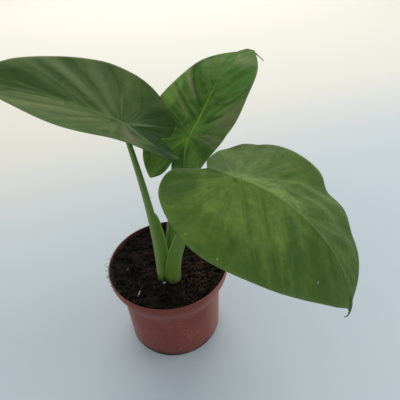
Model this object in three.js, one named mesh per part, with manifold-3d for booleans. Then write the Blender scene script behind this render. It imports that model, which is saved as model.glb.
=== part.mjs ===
// A potted alocasia: a round plastic nursery pot filled with peat, and three arrow-shaped
// leaves whose fleshy stalks rise side by side from one short crown.
// Millimetres, +Z up. The origin is on the pot's axis, on the surface that the pot stands on.
import * as THREE from 'three';
import { mergeVertices } from 'three/addons/utils/BufferGeometryUtils.js';
import Module from 'manifold-3d';

const wasm = await Module();
wasm.setup();

// Driving dimensions

const FIT_GAP = 0.3;

// The pot's body widens evenly from the foot towards bodyTopRadius, and its wall flares out to the rim
// between the heights flareFrom and flareTo.
const POT = {
  height: 93,
  rimRadius: 60,
  bodyTopRadius: 51.2,
  footRadius: 48.8,
  flareFrom: 60,
  flareTo: 89,
  flareRings: 6,
  wall: 1.6,
  lipRound: 0.6,
  floorHeight: 4.5,
  floorThickness: 2,
  footRingWidth: 6,
  footPadRadius: 14,
  footEase: 1,
  drainHoles: 6,
  drainRadius: 4,
  drainCircle: 31,
  drainSides: 12,
  sides: 48,
};

const SOIL = {
  level: 86,
  lump: 0.9,
  coarse: { x: 0.16, y: 0.19, startX: 1.1, startY: -0.4 },
  fine: { share: 0.6, x: 0.43, skewX: -0.7, y: 0.37, skewY: 0.21 },
  chamfer: 1.4,
  edgeDrop: 3,
  rings: 9,
  sides: 40,
};

const CROWN = {
  centre: [0, -13],
  radii: [12, 11],
  bottom: 60,
  top: 83.7,
  neck: 0.55,
  bulge: 0.45,
  bulgeFrom: 0.15,
  bulgeSpan: 0.6,
  scar: 0.03,
  rings: 8,
  sides: 20,
};

// The stalk draws in by tuck at the soil, over the part tuckEnd of its length. The sheath's wing grows
// from its top down with the power wingGrowth and lowers again to the part wingFoot at the soil, and
// wingSpread is its half width as an angle. A cutter trimSize wide ends the stalk at the blade's top
// face, as low as the blade lies trimReach from the midrib.
const PETIOLE = {
  base: 84,
  tuck: 0.16,
  tuckEnd: 0.06,
  wingGrowth: 0.4,
  wingFoot: 0.6,
  wingSpread: 0.6,
  sides: 12,
  stations: 22,
  pastBlade: 4,
  trimSize: 40,
  trimReach: 3,
};

// The puffs between the veins reach their full height at the part puffFull of a vein's length, fan for
// veins that leave the stalk's end and ahead for those beyond fanEnd. They fade from puffFade to the
// margin, and over the part flatTip of the midrib to the tip.
const BLADE = {
  thickness: 0.8,
  columnsPerVein: 3,
  veinBow: 0.025,
  puffFull: { fan: 0.65, ahead: 0.4 },
  fanEnd: 0.25,
  puffFade: 0.72,
  flatTip: 0.4,
  wavePhaseStep: 1.3,
  midribDepth: 2.2,
  tipRibShare: 0.05,
  lobeRibEnd: 0.2,
  veinRibDepth: 0.5,
};

// The cup has become the lobes' own this far behind the stalk, and the tip's droop starts this far
// ahead of it, both as parts of the blade's length.
const LOBE_CUP_AT = 0.4;
const DROOP_FROM = 0.8;

// Rows of the blade's surface, as parts of each vein's length from the midrib to the margin
const BLADE_ROWS = [0.07, 0.2, 0.36, 0.52, 0.68, 0.85, 1];

// Half outline of a flat blade, from the root of the drip tip round to the notch behind the stalk.
// Lengths are parts of the blade's length ahead of the stalk, and parts of the lobe's length behind it.
// Widths are parts of the half width.
const FRONT_OUTLINE = [
  [1, 0.014],
  [0.955, 0.04],
  [0.9, 0.13],
  [0.78, 0.36],
  [0.58, 0.66],
  [0.36, 0.89],
  [0.13, 1],
];
const LOBE_OUTLINE = [
  [-0.1, 0.98],
  [-0.3, 0.84],
  [-0.45, 0.6],
  [-0.5, 0.38],
  [-0.47, 0.18],
];
const NOTCH_SHOULDER = { along: 0.42, width: 0.055 };
const OUTLINE_END = FRONT_OUTLINE.length + LOBE_OUTLINE.length + 2;

// Side veins ahead of the stalk leave the midrib at these parts of its length.
const FRONT_VEINS = [0.77, 0.62, 0.47, 0.33, 0.2, 0.09, 0];
// The veins' bow grows from the part base of its full depth at the stalk, and ends at tipStart.
const BOW_FADE = { base: 0.3, growth: 4, tipStart: 0.95 };
// Where on the outline the first side vein ends, counted in outline points from the blade's tip.
const FIRST_VEIN_END = 5.4;
// Veins of the lobes leave the stalk's end and reach the outline at these points of it.
const LOBE_VEINS = [7.6, 8.8, 9.9, 10.9, 12.2];

// Angles are in degrees. A blade's own axes are along the midrib, across to its left, and up.
// bend is how far the midrib turns down by its tip, as two parts, the second growing with the
// square of the length. cup is the rise of each half from the midrib by the stalk, lobeCup and
// tipCup what it becomes in the lobes and at the tip, curl the half's further turn down, twist the
// turn about the midrib by the tip, and turn its sideways bend. point narrows the tip, and puff is
// the height of the blade between two veins as a part of their distance.
const LEAVES = {
  leaf_left: {
    stalkEnd: [-20.5, -1.7, 250.3],
    heading: 176.6,
    pitch: 25.1,
    roll: 2.2,
    length: 113,
    halfWidth: { left: 72, right: 57.1 },
    lobe: { left: 0.82, right: 0.74 },
    notch: 0.27,
    bend: [-9.5, 22.9],
    lobeLift: 32.6,
    cup: 10.7,
    lobeCup: 8.2,
    tipCup: 14.8,
    curl: -14.5,
    twist: -10.2,
    turn: 10.4,
    tipDroop: 0,
    drip: { length: 0.06, curl: 40, turn: 0 },
    point: 1.07,
    puff: 0.1,
    sweep: 2.2,
    wave: { height: 0.6, count: 4.7, phase: 4.2 },
    dents: [
      { side: 'right', at: 4.1, width: 0.6, depth: -2.1 },
      { side: 'right', at: 6.6, width: 0.44, depth: -0.8 },
    ],
    petiole: {
      base: [-5.2, -17.5],
      low: [-5.5, -3, 140],
      high: [-12.5, -1.5, 192.5],
      baseRadius: 5.6,
      topRadius: 1.7,
      sheath: { heading: 15, width: 10, top: 0.45 },
    },
  },
  leaf_back: {
    stalkEnd: [29.8, 34.1, 215.1],
    heading: 49.8,
    pitch: 29.8,
    roll: -19.2,
    length: 132.3,
    halfWidth: { left: 61.3, right: 54.5 },
    lobe: { left: 0.71, right: 0.69 },
    notch: 0.2,
    bend: [-51.5, 108.4],
    lobeLift: 0.7,
    cup: 4.5,
    lobeCup: -9.2,
    tipCup: -7.3,
    curl: -9.9,
    twist: 17.5,
    turn: 16,
    tipDroop: 14.1,
    drip: { length: 0.11, curl: -7.3, turn: -40 },
    point: 1.1,
    puff: 0.11,
    sweep: 0.9,
    wave: { height: 1.2, count: 6, phase: 2.1 },
    dents: [{ side: 'left', at: 4.2, width: 0.5, depth: 1.2 }],
    petiole: {
      base: [2, -6],
      low: [2.5, -2.5, 130],
      high: [14.5, 14.5, 184.5],
      baseRadius: 5.4,
      topRadius: 2.4,
      sheath: { heading: -40, width: 1.5, top: 0.3 },
    },
  },
  leaf_right: {
    stalkEnd: [60.4, -74.9, 243.7],
    heading: -21.7,
    pitch: -12.4,
    roll: -0.6,
    length: 145.3,
    halfWidth: { left: 78.1, right: 59.6 },
    lobe: { left: 0.37, right: 0.59 },
    notch: 0.14,
    bend: [96, -29.5],
    lobeLift: 18.5,
    cup: -21.6,
    lobeCup: -12.8,
    tipCup: -0.2,
    curl: -13.1,
    twist: 25,
    turn: 3.5,
    tipDroop: 11.7,
    drip: { length: 0.045, curl: 43.5, turn: -11.5 },
    point: 1.02,
    puff: 0.06,
    sweep: 1.1,
    wave: { height: 0.8, count: 4.9, phase: -0.6 },
    dents: [
      { side: 'left', at: 5.35, width: 0.29, depth: 5.6 },
      { side: 'left', at: 4.49, width: 0.29, depth: 1.8 },
      { side: 'left', at: 9.4, width: 0.6, depth: 2.2 },
    ],
    petiole: {
      base: [5.2, -18.5],
      low: [5.8, -21, 130],
      high: [29.5, -48, 205.5],
      baseRadius: 7.8,
      topRadius: 2.8,
      sheath: { heading: 165, width: 2.5, top: 0.5 },
    },
  },
};

// Materials

const MATERIALS = {
  pot: new THREE.MeshStandardMaterial({ color: 0x7a4136, roughness: 0.45 }),
  soil: new THREE.MeshStandardMaterial({ color: 0x1c1411, roughness: 1 }),
  crown: new THREE.MeshStandardMaterial({ color: 0x8a8f5a, roughness: 0.7 }),
  leaf: new THREE.MeshStandardMaterial({ color: 0x3f6b2c, roughness: 0.45 }),
};

// Small helpers

const radians = THREE.MathUtils.degToRad;
const clamp = THREE.MathUtils.clamp;
const lerp = THREE.MathUtils.lerp;

function meshGeometry(positions, triangles) {
  const geometry = new THREE.BufferGeometry();
  geometry.setAttribute('position', new THREE.Float32BufferAttribute(positions, 3));
  geometry.setIndex(triangles);
  geometry.computeVertexNormals();
  return geometry;
}

function toSolid(geometry) {
  const bare = geometry.clone();
  bare.deleteAttribute('normal');
  bare.deleteAttribute('uv');
  const merged = mergeVertices(bare, 1e-4);
  return new wasm.Manifold(new wasm.Mesh({
    numProp: 3,
    vertProperties: new Float32Array(merged.attributes.position.array),
    triVerts: new Uint32Array(merged.index.array),
  }));
}

function toGeometry(solid) {
  const { vertProperties, triVerts } = solid.getMesh();
  return meshGeometry(Array.from(vertProperties), Array.from(triVerts));
}

function lathe(profile, sides) {
  const geometry = new THREE.LatheGeometry(profile.map(([r, z]) => new THREE.Vector2(r, z)), sides);
  return geometry.rotateX(Math.PI / 2);
}

// A closed tube through rings of points, with a fan over each end
function ringSolid(rings) {
  const sides = rings[0].length;
  const positions = rings.flat().flatMap((p) => [p.x, p.y, p.z]);
  const triangles = [];
  for (let i = 0; i + 1 < rings.length; i += 1) {
    for (let k = 0; k < sides; k += 1) {
      const a = i * sides + k;
      const b = i * sides + ((k + 1) % sides);
      triangles.push(a, b, b + sides, a, b + sides, a + sides);
    }
  }
  const last = (rings.length - 1) * sides;
  const ends = [rings[0], rings[rings.length - 1]].map(ringCentre);
  const low = positions.length / 3;
  positions.push(ends[0].x, ends[0].y, ends[0].z, ends[1].x, ends[1].y, ends[1].z);
  for (let k = 0; k < sides; k += 1) {
    const next = (k + 1) % sides;
    triangles.push(low, next, k, low + 1, last + k, last + next);
  }
  return meshGeometry(positions, triangles);
}

function ringCentre(ring) {
  const sum = ring.reduce((total, p) => total.add(p), new THREE.Vector3());
  return sum.divideScalar(ring.length);
}

// Pot

// The outside of the wall as { z, r }, from the foot to the rim
function potWall() {
  const wall = [{ z: 0, r: POT.footRadius }];
  for (let i = 0; i <= POT.flareRings; i += 1) {
    const z = lerp(POT.flareFrom, POT.flareTo, i / POT.flareRings);
    const flare = THREE.MathUtils.smoothstep(z, POT.flareFrom, POT.flareTo);
    const body = lerp(POT.footRadius, POT.bodyTopRadius, z / POT.height);
    wall.push({ z, r: body + flare * (POT.rimRadius - POT.bodyTopRadius) });
  }
  wall.push({ z: POT.height, r: POT.rimRadius });
  return wall;
}

function potInnerRadius(z) {
  const wall = potWall();
  const above = wall.findIndex((point) => point.z > z);
  const [low, high] = [wall[above - 1], wall[above]];
  return lerp(low.r, high.r, (z - low.z) / (high.z - low.z)) - POT.wall;
}

// The wall's points between two heights
function potWallBetween(low, high) {
  return potWall().filter((point) => point.z > low && point.z < high);
}

function potGeometry() {
  const recess = POT.floorHeight - POT.floorThickness;
  const floorEdge = POT.floorHeight + POT.footEase;
  const lipBottom = POT.height - POT.lipRound;
  const wall = potWallBetween(floorEdge, lipBottom);
  const ringInside = POT.footRadius - POT.footRingWidth;
  const profile = [
    [0, 0],
    [POT.footPadRadius, 0],
    [POT.footPadRadius + POT.footEase, recess],
    [ringInside, recess],
    [ringInside + POT.footEase, 0],
    [POT.footRadius - POT.lipRound, 0],
    [POT.footRadius, POT.lipRound],
    ...wall.map(({ z, r }) => [r, z]),
    [POT.rimRadius, lipBottom],
    [POT.rimRadius - POT.lipRound / 2, POT.height],
    [POT.rimRadius - POT.wall + POT.lipRound / 2, POT.height],
    [potInnerRadius(lipBottom), lipBottom],
    ...wall.reverse().map(({ z, r }) => [r - POT.wall, z]),
    [potInnerRadius(floorEdge), floorEdge],
    [potInnerRadius(POT.floorHeight) - POT.footEase, POT.floorHeight],
    [0, POT.floorHeight],
  ];
  let pot = toSolid(lathe(profile, POT.sides));
  for (let i = 0; i < POT.drainHoles; i += 1) {
    const angle = (2 * Math.PI * (i + 0.5)) / POT.drainHoles;
    const length = 3 * POT.floorHeight;
    const hole = new THREE.CylinderGeometry(POT.drainRadius, POT.drainRadius, length, POT.drainSides);
    hole.rotateX(Math.PI / 2);
    hole.translate(POT.drainCircle * Math.cos(angle), POT.drainCircle * Math.sin(angle), 0);
    pot = pot.subtract(toSolid(hole));
  }
  return toGeometry(pot);
}

// Soil

function soilHeight(x, y) {
  const { coarse, fine } = SOIL;
  const low = Math.sin(coarse.x * x + coarse.startX) * Math.cos(coarse.y * y + coarse.startY);
  const small = Math.sin(fine.x * x + fine.skewX * y) * Math.cos(fine.y * y + fine.skewY * x);
  return SOIL.level + SOIL.lump * (low + fine.share * small);
}

function soilSolid() {
  const rings = [];
  const bottom = POT.floorHeight + FIT_GAP;
  const circle = (radius, height) => {
    const ring = [];
    for (let k = 0; k < SOIL.sides; k += 1) {
      const angle = (2 * Math.PI * k) / SOIL.sides;
      const x = radius * Math.cos(angle);
      const y = radius * Math.sin(angle);
      ring.push(new THREE.Vector3(x, y, height ?? soilHeight(x, y)));
    }
    return ring;
  };
  rings.push(circle(potInnerRadius(bottom) - FIT_GAP - SOIL.chamfer, bottom));
  rings.push(circle(potInnerRadius(bottom + SOIL.chamfer) - FIT_GAP, bottom + SOIL.chamfer));
  const edgeTop = SOIL.level - SOIL.edgeDrop;
  const edge = potInnerRadius(edgeTop) - FIT_GAP;
  for (const { z, r } of potWallBetween(bottom + SOIL.chamfer, edgeTop)) {
    rings.push(circle(r - POT.wall - FIT_GAP, z));
  }
  rings.push(circle(edge, edgeTop));
  for (let i = 0; i < SOIL.rings; i += 1) {
    rings.push(circle(edge * (1 - i / SOIL.rings)));
  }
  return toSolid(ringSolid(rings));
}

// Crown

function crownSolid(grow = 0) {
  const [cx, cy] = CROWN.centre;
  const rings = [];
  for (let i = 0; i <= CROWN.rings; i += 1) {
    const share = i / CROWN.rings;
    const bulgePhase = Math.PI * (CROWN.bulgeFrom + CROWN.bulgeSpan * share);
    const swell = CROWN.neck + CROWN.bulge * Math.sin(bulgePhase);
    const ring = [];
    for (let k = 0; k < CROWN.sides; k += 1) {
      const angle = (2 * Math.PI * k) / CROWN.sides;
      const scar = 1 + CROWN.scar * (i % 2);
      ring.push(new THREE.Vector3(
        cx + (CROWN.radii[0] * swell * scar + grow) * Math.cos(angle),
        cy + (CROWN.radii[1] * swell * scar + grow) * Math.sin(angle),
        lerp(CROWN.bottom - grow, CROWN.top + grow, share),
      ));
    }
    rings.push(ring);
  }
  return toSolid(ringSolid(rings));
}

// Blade surface

function leafAxes(leaf) {
  const heading = radians(leaf.heading);
  const pitch = radians(leaf.pitch);
  const roll = radians(leaf.roll);
  const along = new THREE.Vector3(
    Math.cos(heading) * Math.cos(pitch),
    Math.sin(heading) * Math.cos(pitch),
    Math.sin(pitch),
  );
  const level = new THREE.Vector3(-Math.sin(heading), Math.cos(heading), 0);
  const upright = along.clone().cross(level);
  const across = level.clone().multiplyScalar(Math.cos(roll)).addScaledVector(upright, Math.sin(roll));
  return { along, across, up: along.clone().cross(across) };
}

function dripShare(leaf, u) {
  return clamp((u - 1) / leaf.drip.length, 0, 1);
}

function midribAngle(leaf, u) {
  if (u < 0) {
    return radians(-leaf.lobeLift * u);
  }
  const droop = leaf.tipDroop * clamp((u - DROOP_FROM) / (1 - DROOP_FROM), 0, 1) ** 2;
  const drip = leaf.drip.curl * dripShare(leaf, u);
  return -radians(leaf.bend[0] * u + leaf.bend[1] * u * u + droop + drip);
}

// The midrib's course in the blade's own axes, found by adding up short steps from the stalk
function midribTable(leaf) {
  const steps = 240;
  const first = -0.6;
  const last = 1 + leaf.drip.length;
  const step = (last - first) / steps;
  const start = Math.round(-first / step);
  const table = Array.from({ length: steps + 1 }, (_, i) => ({ u: (i - start) * step }));
  table.forEach((entry) => {
    entry.angle = midribAngle(leaf, entry.u);
    entry.turn = radians(leaf.turn * Math.max(entry.u, 0) + leaf.drip.turn * dripShare(leaf, entry.u));
  });
  table[start].point = new THREE.Vector3();
  const length = step * leaf.length;
  const advance = (from, to, sign) => {
    const angle = (from.angle + to.angle) / 2;
    const turn = (from.turn + to.turn) / 2;
    const move = new THREE.Vector3(
      Math.cos(angle) * Math.cos(turn),
      Math.cos(angle) * Math.sin(turn),
      Math.sin(angle),
    );
    to.point = from.point.clone().addScaledVector(move, sign * length);
  };
  for (let i = start; i < steps; i += 1) {
    advance(table[i], table[i + 1], 1);
  }
  for (let i = start; i > 0; i -= 1) {
    advance(table[i], table[i - 1], -1);
  }
  return { table, start, step };
}

function midribAt(midrib, u) {
  const place = clamp(u / midrib.step + midrib.start, 0, midrib.table.length - 1.001);
  const low = midrib.table[Math.floor(place)];
  const high = midrib.table[Math.floor(place) + 1];
  const share = place - Math.floor(place);
  return {
    point: low.point.clone().lerp(high.point, share),
    angle: lerp(low.angle, high.angle, share),
    turn: lerp(low.turn, high.turn, share),
  };
}

// A point of the flat blade, x along the midrib and y to the left, raised by lift, set in space
function bladePoint(shape, x, y, lift) {
  const { leaf, midrib, axes } = shape;
  const u = x / leaf.length;
  const { point, angle, turn } = midribAt(midrib, u);
  const side = y < 0 ? -1 : 1;
  const behind = clamp(-u / LOBE_CUP_AT, 0, 1);
  const ahead = clamp(u, 0, 1) ** 2;
  const cup = radians(lerp(leaf.cup, leaf.lobeCup, behind) + (leaf.tipCup - leaf.cup) * ahead);
  const curl = radians(leaf.curl) / ((leaf.halfWidth.left + leaf.halfWidth.right) / 2);
  const slope = cup - curl * Math.abs(y);
  const out = (Math.sin(cup) - Math.sin(slope)) / curl;
  const rise = (Math.cos(slope) - Math.cos(cup)) / curl;
  const sideways = side * (out - lift * Math.sin(slope));
  const upward = rise + lift * Math.cos(slope);
  const twist = radians(leaf.twist) * u;
  const s = sideways * Math.cos(twist) - upward * Math.sin(twist);
  const n = sideways * Math.sin(twist) + upward * Math.cos(twist);
  point.x += -s * Math.sin(turn) - n * Math.sin(angle) * Math.cos(turn);
  point.y += s * Math.cos(turn) - n * Math.sin(angle) * Math.sin(turn);
  point.z += n * Math.cos(angle);
  return new THREE.Vector3(...leaf.stalkEnd)
    .addScaledVector(axes.along, point.x)
    .addScaledVector(axes.across, point.y)
    .addScaledVector(axes.up, point.z);
}

// The half outline as a smooth curve through its points, in millimetres on the flat blade
function halfOutline(leaf, side) {
  const width = leaf.halfWidth[side];
  const lobeLength = leaf.lobe[side] * leaf.length;
  const notch = -leaf.notch * leaf.length;
  const front = FRONT_OUTLINE.map(([x, y], i) => [x * leaf.length, (i ? y ** leaf.point : y) * width]);
  const lobe = LOBE_OUTLINE.map(([x, y]) => [x * lobeLength, y * width]);
  const shoulder = lerp(notch, lobe[lobe.length - 1][0], NOTCH_SHOULDER.along);
  const dripEnd = [(1 + leaf.drip.length) * leaf.length, 0];
  const points = [dripEnd, ...front, ...lobe, [shoulder, NOTCH_SHOULDER.width * width], [notch, 0]];
  return (place) => {
    const i = Math.min(Math.floor(place), points.length - 2);
    const t = place - i;
    const end = points.length - 1;
    const mirror = (a, b) => [2 * a[0] - b[0], 2 * a[1] - b[1]];
    const before = points[i - 1] ?? mirror(points[0], points[1]);
    const after = points[i + 2] ?? mirror(points[end], points[end - 1]);
    return [0, 1].map((c) => {
      const [a, b, d, e] = [before[c], points[i][c], points[i + 1][c], after[c]];
      return 0.5 * (2 * b + (d - a) * t + (2 * a - 5 * b + 4 * d - e) * t * t
        + (3 * b - a - 3 * d + e) * t * t * t);
    });
  };
}

// Each vein as [its place on the midrib, its place on the outline], from the tip to the notch
function veinList(leaf) {
  const tip = [[1 + leaf.drip.length, 0], [1, 1]];
  const front = FRONT_VEINS.map((u) => [u, 1 + FIRST_VEIN_END * (1 - u) ** leaf.sweep]);
  const lobe = LOBE_VEINS.map((place, i) => {
    const share = (i + 1) / (LOBE_VEINS.length + 1);
    return [-0.5 * leaf.notch * share * share, place];
  });
  return [...tip, ...front, ...lobe, [-leaf.notch, OUTLINE_END]];
}

// Height of the blade's surface above its smooth course: puffed between the veins, waved at the margin
function bladeRelief(leaf, side, column, row) {
  const betweenVeins = Math.sin(Math.PI * column.share) ** 2;
  const { fan, ahead } = BLADE.puffFull;
  const awayFromRib = clamp(row / lerp(fan, ahead, clamp(column.u / BLADE.fanEnd, 0, 1)), 0, 1) ** 2;
  const insideMargin = 1 - clamp((row - BLADE.puffFade) / (1 - BLADE.puffFade), 0, 1);
  const beforeTip = clamp((1 - column.u) / BLADE.flatTip, 0, 1);
  const puffHeight = leaf.puff * column.spacing[side] * beforeTip;
  const puff = puffHeight * betweenVeins * awayFromRib * insideMargin;
  const phase = leaf.wave.phase + (side === 'left' ? 0 : BLADE.wavePhaseStep);
  const turns = (2 * Math.PI * leaf.wave.count * column.place) / OUTLINE_END;
  const tipFade = clamp(column.place - 1, 0, 1);
  const wave = leaf.wave.height * Math.sin(turns + phase) * row ** 3 * tipFade;
  const dents = leaf.dents.filter((dent) => dent.side === side);
  const dip = dents.reduce((sum, dent) => (
    sum + dent.depth * Math.exp(-(((column.place - dent.at) / dent.width) ** 2)) * row ** 3
  ), 0);
  return puff + wave - dip;
}

// Distance between two veins, measured square to the first one half way along it
function veinSpacing(leaf, outline, vein, next) {
  const start = new THREE.Vector2(vein[0] * leaf.length, 0);
  const along = new THREE.Vector2(...outline(vein[1])).sub(start);
  const middle = start.clone().addScaledVector(along, 0.5);
  const other = new THREE.Vector2(next[0] * leaf.length, 0).add(new THREE.Vector2(...outline(next[1])));
  const apart = other.multiplyScalar(0.5).sub(middle);
  return Math.abs(along.normalize().cross(apart));
}

// How far the side veins bow towards the stalk half way along: less behind the stalk, none at the tip
function veinBow(leaf, u) {
  const { tipStart, base, growth } = BOW_FADE;
  return u < tipStart ? BLADE.veinBow * leaf.length * clamp(base + growth * u, 0, 1) : 0;
}

function bladeColumns(leaf, outlines) {
  const veins = veinList(leaf);
  const columns = [];
  for (let i = 0; i + 1 < veins.length; i += 1) {
    const count = i === 0 ? 1 : BLADE.columnsPerVein;
    const spacing = {
      left: i === 0 ? 0 : veinSpacing(leaf, outlines.left, veins[i], veins[i + 1]),
      right: i === 0 ? 0 : veinSpacing(leaf, outlines.right, veins[i], veins[i + 1]),
    };
    for (let k = 0; k < count; k += 1) {
      const share = k / count;
      columns.push({
        share,
        spacing,
        rib: k === 0 && i > 1,
        u: lerp(veins[i][0], veins[i + 1][0], share),
        place: lerp(veins[i][1], veins[i + 1][1], share),
      });
    }
  }
  const [u, place] = veins[veins.length - 1];
  columns.push({ share: 0, spacing: { left: 0, right: 0 }, rib: false, u, place });
  return columns;
}

function bladeGeometry(leaf) {
  const shape = { leaf, midrib: midribTable(leaf), axes: leafAxes(leaf) };
  const outlines = { left: halfOutline(leaf, 'left'), right: halfOutline(leaf, 'right') };
  const columns = bladeColumns(leaf, outlines);
  const positions = [];
  const triangles = [];
  const rowCount = BLADE_ROWS.length;
  const lastColumn = columns.length - 1;

  const addPoint = (x, y, lift) => {
    const p = bladePoint(shape, x, y, lift);
    positions.push(p.x, p.y, p.z);
    return positions.length / 3 - 1;
  };
  // Both faces of one place of the blade: the upper one, and the lower one with its ribs
  const addPair = (x, y, lift, rib) => [
    addPoint(x, y, lift),
    addPoint(x, y, lift - BLADE.thickness - rib),
  ];

  const ribDepth = (u) => {
    const behind = clamp(1 + u / BLADE.lobeRibEnd, 0, 1);
    return BLADE.midribDepth * clamp(1 - u, BLADE.tipRibShare, 1) * behind;
  };
  const spine = columns.map(({ u }) => addPair(u * leaf.length, 0, 0, ribDepth(u)));

  const halfGrid = (side) => {
    const sign = side === 'left' ? 1 : -1;
    return columns.map((column, c) => {
      if (c === 0 || c === lastColumn) {
        return null;
      }
      const [mx, my] = outlines[side](column.place);
      const from = column.u * leaf.length;
      const bow = veinBow(leaf, column.u);
      const pairs = [spine[c]];
      BLADE_ROWS.forEach((row) => {
        const x = lerp(from, mx, row) - bow * 4 * row * (1 - row);
        const y = sign * my * row;
        const rib = column.rib ? BLADE.veinRibDepth * (1 - row) : 0;
        pairs.push(addPair(x, y, bladeRelief(leaf, side, column, row), rib));
      });
      return pairs;
    });
  };

  const face = (a, b, c, flip) => {
    const [p, q] = flip ? [c, b] : [b, c];
    triangles.push(a[0], p[0], q[0], a[1], q[1], p[1]);
  };
  const wall = (a, b, flip) => {
    const [p, q] = flip ? [b, a] : [a, b];
    triangles.push(p[0], p[1], q[1], p[0], q[1], q[0]);
  };
  ['left', 'right'].forEach((side) => {
    const flip = side === 'right';
    const grid = halfGrid(side);
    for (let c = 0; c < lastColumn; c += 1) {
      const [here, next] = [grid[c], grid[c + 1]];
      for (let r = 0; r < rowCount; r += 1) {
        if (!here) {
          face(spine[c], next[r + 1], next[r], flip);
        } else if (!next) {
          face(here[r], here[r + 1], spine[c + 1], flip);
        } else {
          face(here[r], here[r + 1], next[r + 1], flip);
          face(here[r], next[r + 1], next[r], flip);
        }
      }
      const marginHere = here ? here[rowCount] : spine[c];
      const marginNext = next ? next[rowCount] : spine[c + 1];
      wall(marginHere, marginNext, flip);
    }
  });
  return meshGeometry(positions, triangles);
}

// Petiole

function petioleCurve(leaf) {
  const { petiole } = leaf;
  const path = new THREE.CubicBezierCurve3(
    new THREE.Vector3(...petiole.base, PETIOLE.base),
    new THREE.Vector3(...petiole.low),
    new THREE.Vector3(...petiole.high),
    new THREE.Vector3(...leaf.stalkEnd),
  );
  return path;
}

function petioleSolid(leaf, grow = 0) {
  const { petiole } = leaf;
  const path = petioleCurve(leaf);
  const sheathHeading = radians(petiole.sheath.heading);
  const sheathAim = new THREE.Vector3(Math.cos(sheathHeading), Math.sin(sheathHeading), 0);
  const rings = [];
  const addRing = (centre, tangent, share) => {
    const out = sheathAim.clone().addScaledVector(tangent, -sheathAim.dot(tangent)).normalize();
    const across = tangent.clone().cross(out);
    const tuck = 1 - PETIOLE.tuck * Math.max(0, 1 - share / PETIOLE.tuckEnd) ** 2;
    const core = tuck * lerp(petiole.baseRadius, petiole.topRadius, (Math.sqrt(share) + share) / 2);
    const upSheath = Math.min(share / petiole.sheath.top, 1);
    const wingRise = lerp(PETIOLE.wingFoot, 1, upSheath) * (1 - upSheath) ** PETIOLE.wingGrowth;
    const wing = petiole.sheath.width * tuck * wingRise;
    const ring = [];
    for (let k = 0; k < PETIOLE.sides; k += 1) {
      const angle = (2 * Math.PI * k) / PETIOLE.sides;
      const offSheath = Math.min(angle, 2 * Math.PI - angle);
      const radius = core + wing * Math.exp(-((offSheath / PETIOLE.wingSpread) ** 2)) + grow;
      ring.push(centre.clone()
        .addScaledVector(out, radius * Math.cos(angle))
        .addScaledVector(across, radius * Math.sin(angle)));
    }
    rings.push(ring);
  };
  const start = path.getPoint(0);
  addRing(start.clone().setZ(start.z - grow), new THREE.Vector3(0, 0, 1), 0);
  for (let i = 1; i <= PETIOLE.stations; i += 1) {
    const share = i / PETIOLE.stations;
    addRing(path.getPoint(share), path.getTangent(share), share);
  }
  const end = path.getTangent(1);
  addRing(path.getPoint(1).addScaledVector(end, PETIOLE.pastBlade), end, 1);
  return toSolid(ringSolid(rings));
}

// The stalk ends inside the blade, so what would stand out above the blade is cut away
function aboveBlade(leaf) {
  const { along, across, up } = leafAxes(leaf);
  const size = PETIOLE.trimSize;
  const fall = PETIOLE.trimReach * Math.tan(radians(Math.max(-leaf.cup, 0)));
  const depth = BLADE.thickness / 2 + fall;
  const box = new THREE.BoxGeometry(size, size, size);
  box.applyMatrix4(new THREE.Matrix4().makeBasis(along, across, up));
  const centre = new THREE.Vector3(...leaf.stalkEnd).addScaledVector(up, size / 2 - depth);
  box.translate(centre.x, centre.y, centre.z);
  return toSolid(box);
}

function buildLeaf(leaf, neighbours) {
  let petiole = petioleSolid(leaf).subtract(aboveBlade(leaf));
  neighbours.forEach((other) => {
    petiole = petiole.subtract(petioleSolid(other, FIT_GAP));
  });
  return petiole.add(toSolid(bladeGeometry(leaf)));
}

// Assembly

const plant = new THREE.Group();

function addNode(name, geometry, material) {
  const mesh = new THREE.Mesh(geometry, material.clone());
  mesh.name = name;
  plant.add(mesh);
}

addNode('pot', potGeometry(), MATERIALS.pot);

let soil = soilSolid().subtract(crownSolid(FIT_GAP));
Object.values(LEAVES).forEach((leaf) => {
  soil = soil.subtract(petioleSolid(leaf, FIT_GAP));
});
addNode('soil', toGeometry(soil), MATERIALS.soil);
addNode('crown', toGeometry(crownSolid()), MATERIALS.crown);

const { leaf_left: left, leaf_back: back, leaf_right: right } = LEAVES;
addNode('leaf_right', toGeometry(buildLeaf(right, [])), MATERIALS.leaf);
addNode('leaf_left', toGeometry(buildLeaf(left, [right])), MATERIALS.leaf);
addNode('leaf_back', toGeometry(buildLeaf(back, [left, right])), MATERIALS.leaf);

export default plant;
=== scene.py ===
from itertools import combinations

import bmesh
import bpy
import numpy as np
from mathutils import Matrix, Vector, noise


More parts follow.
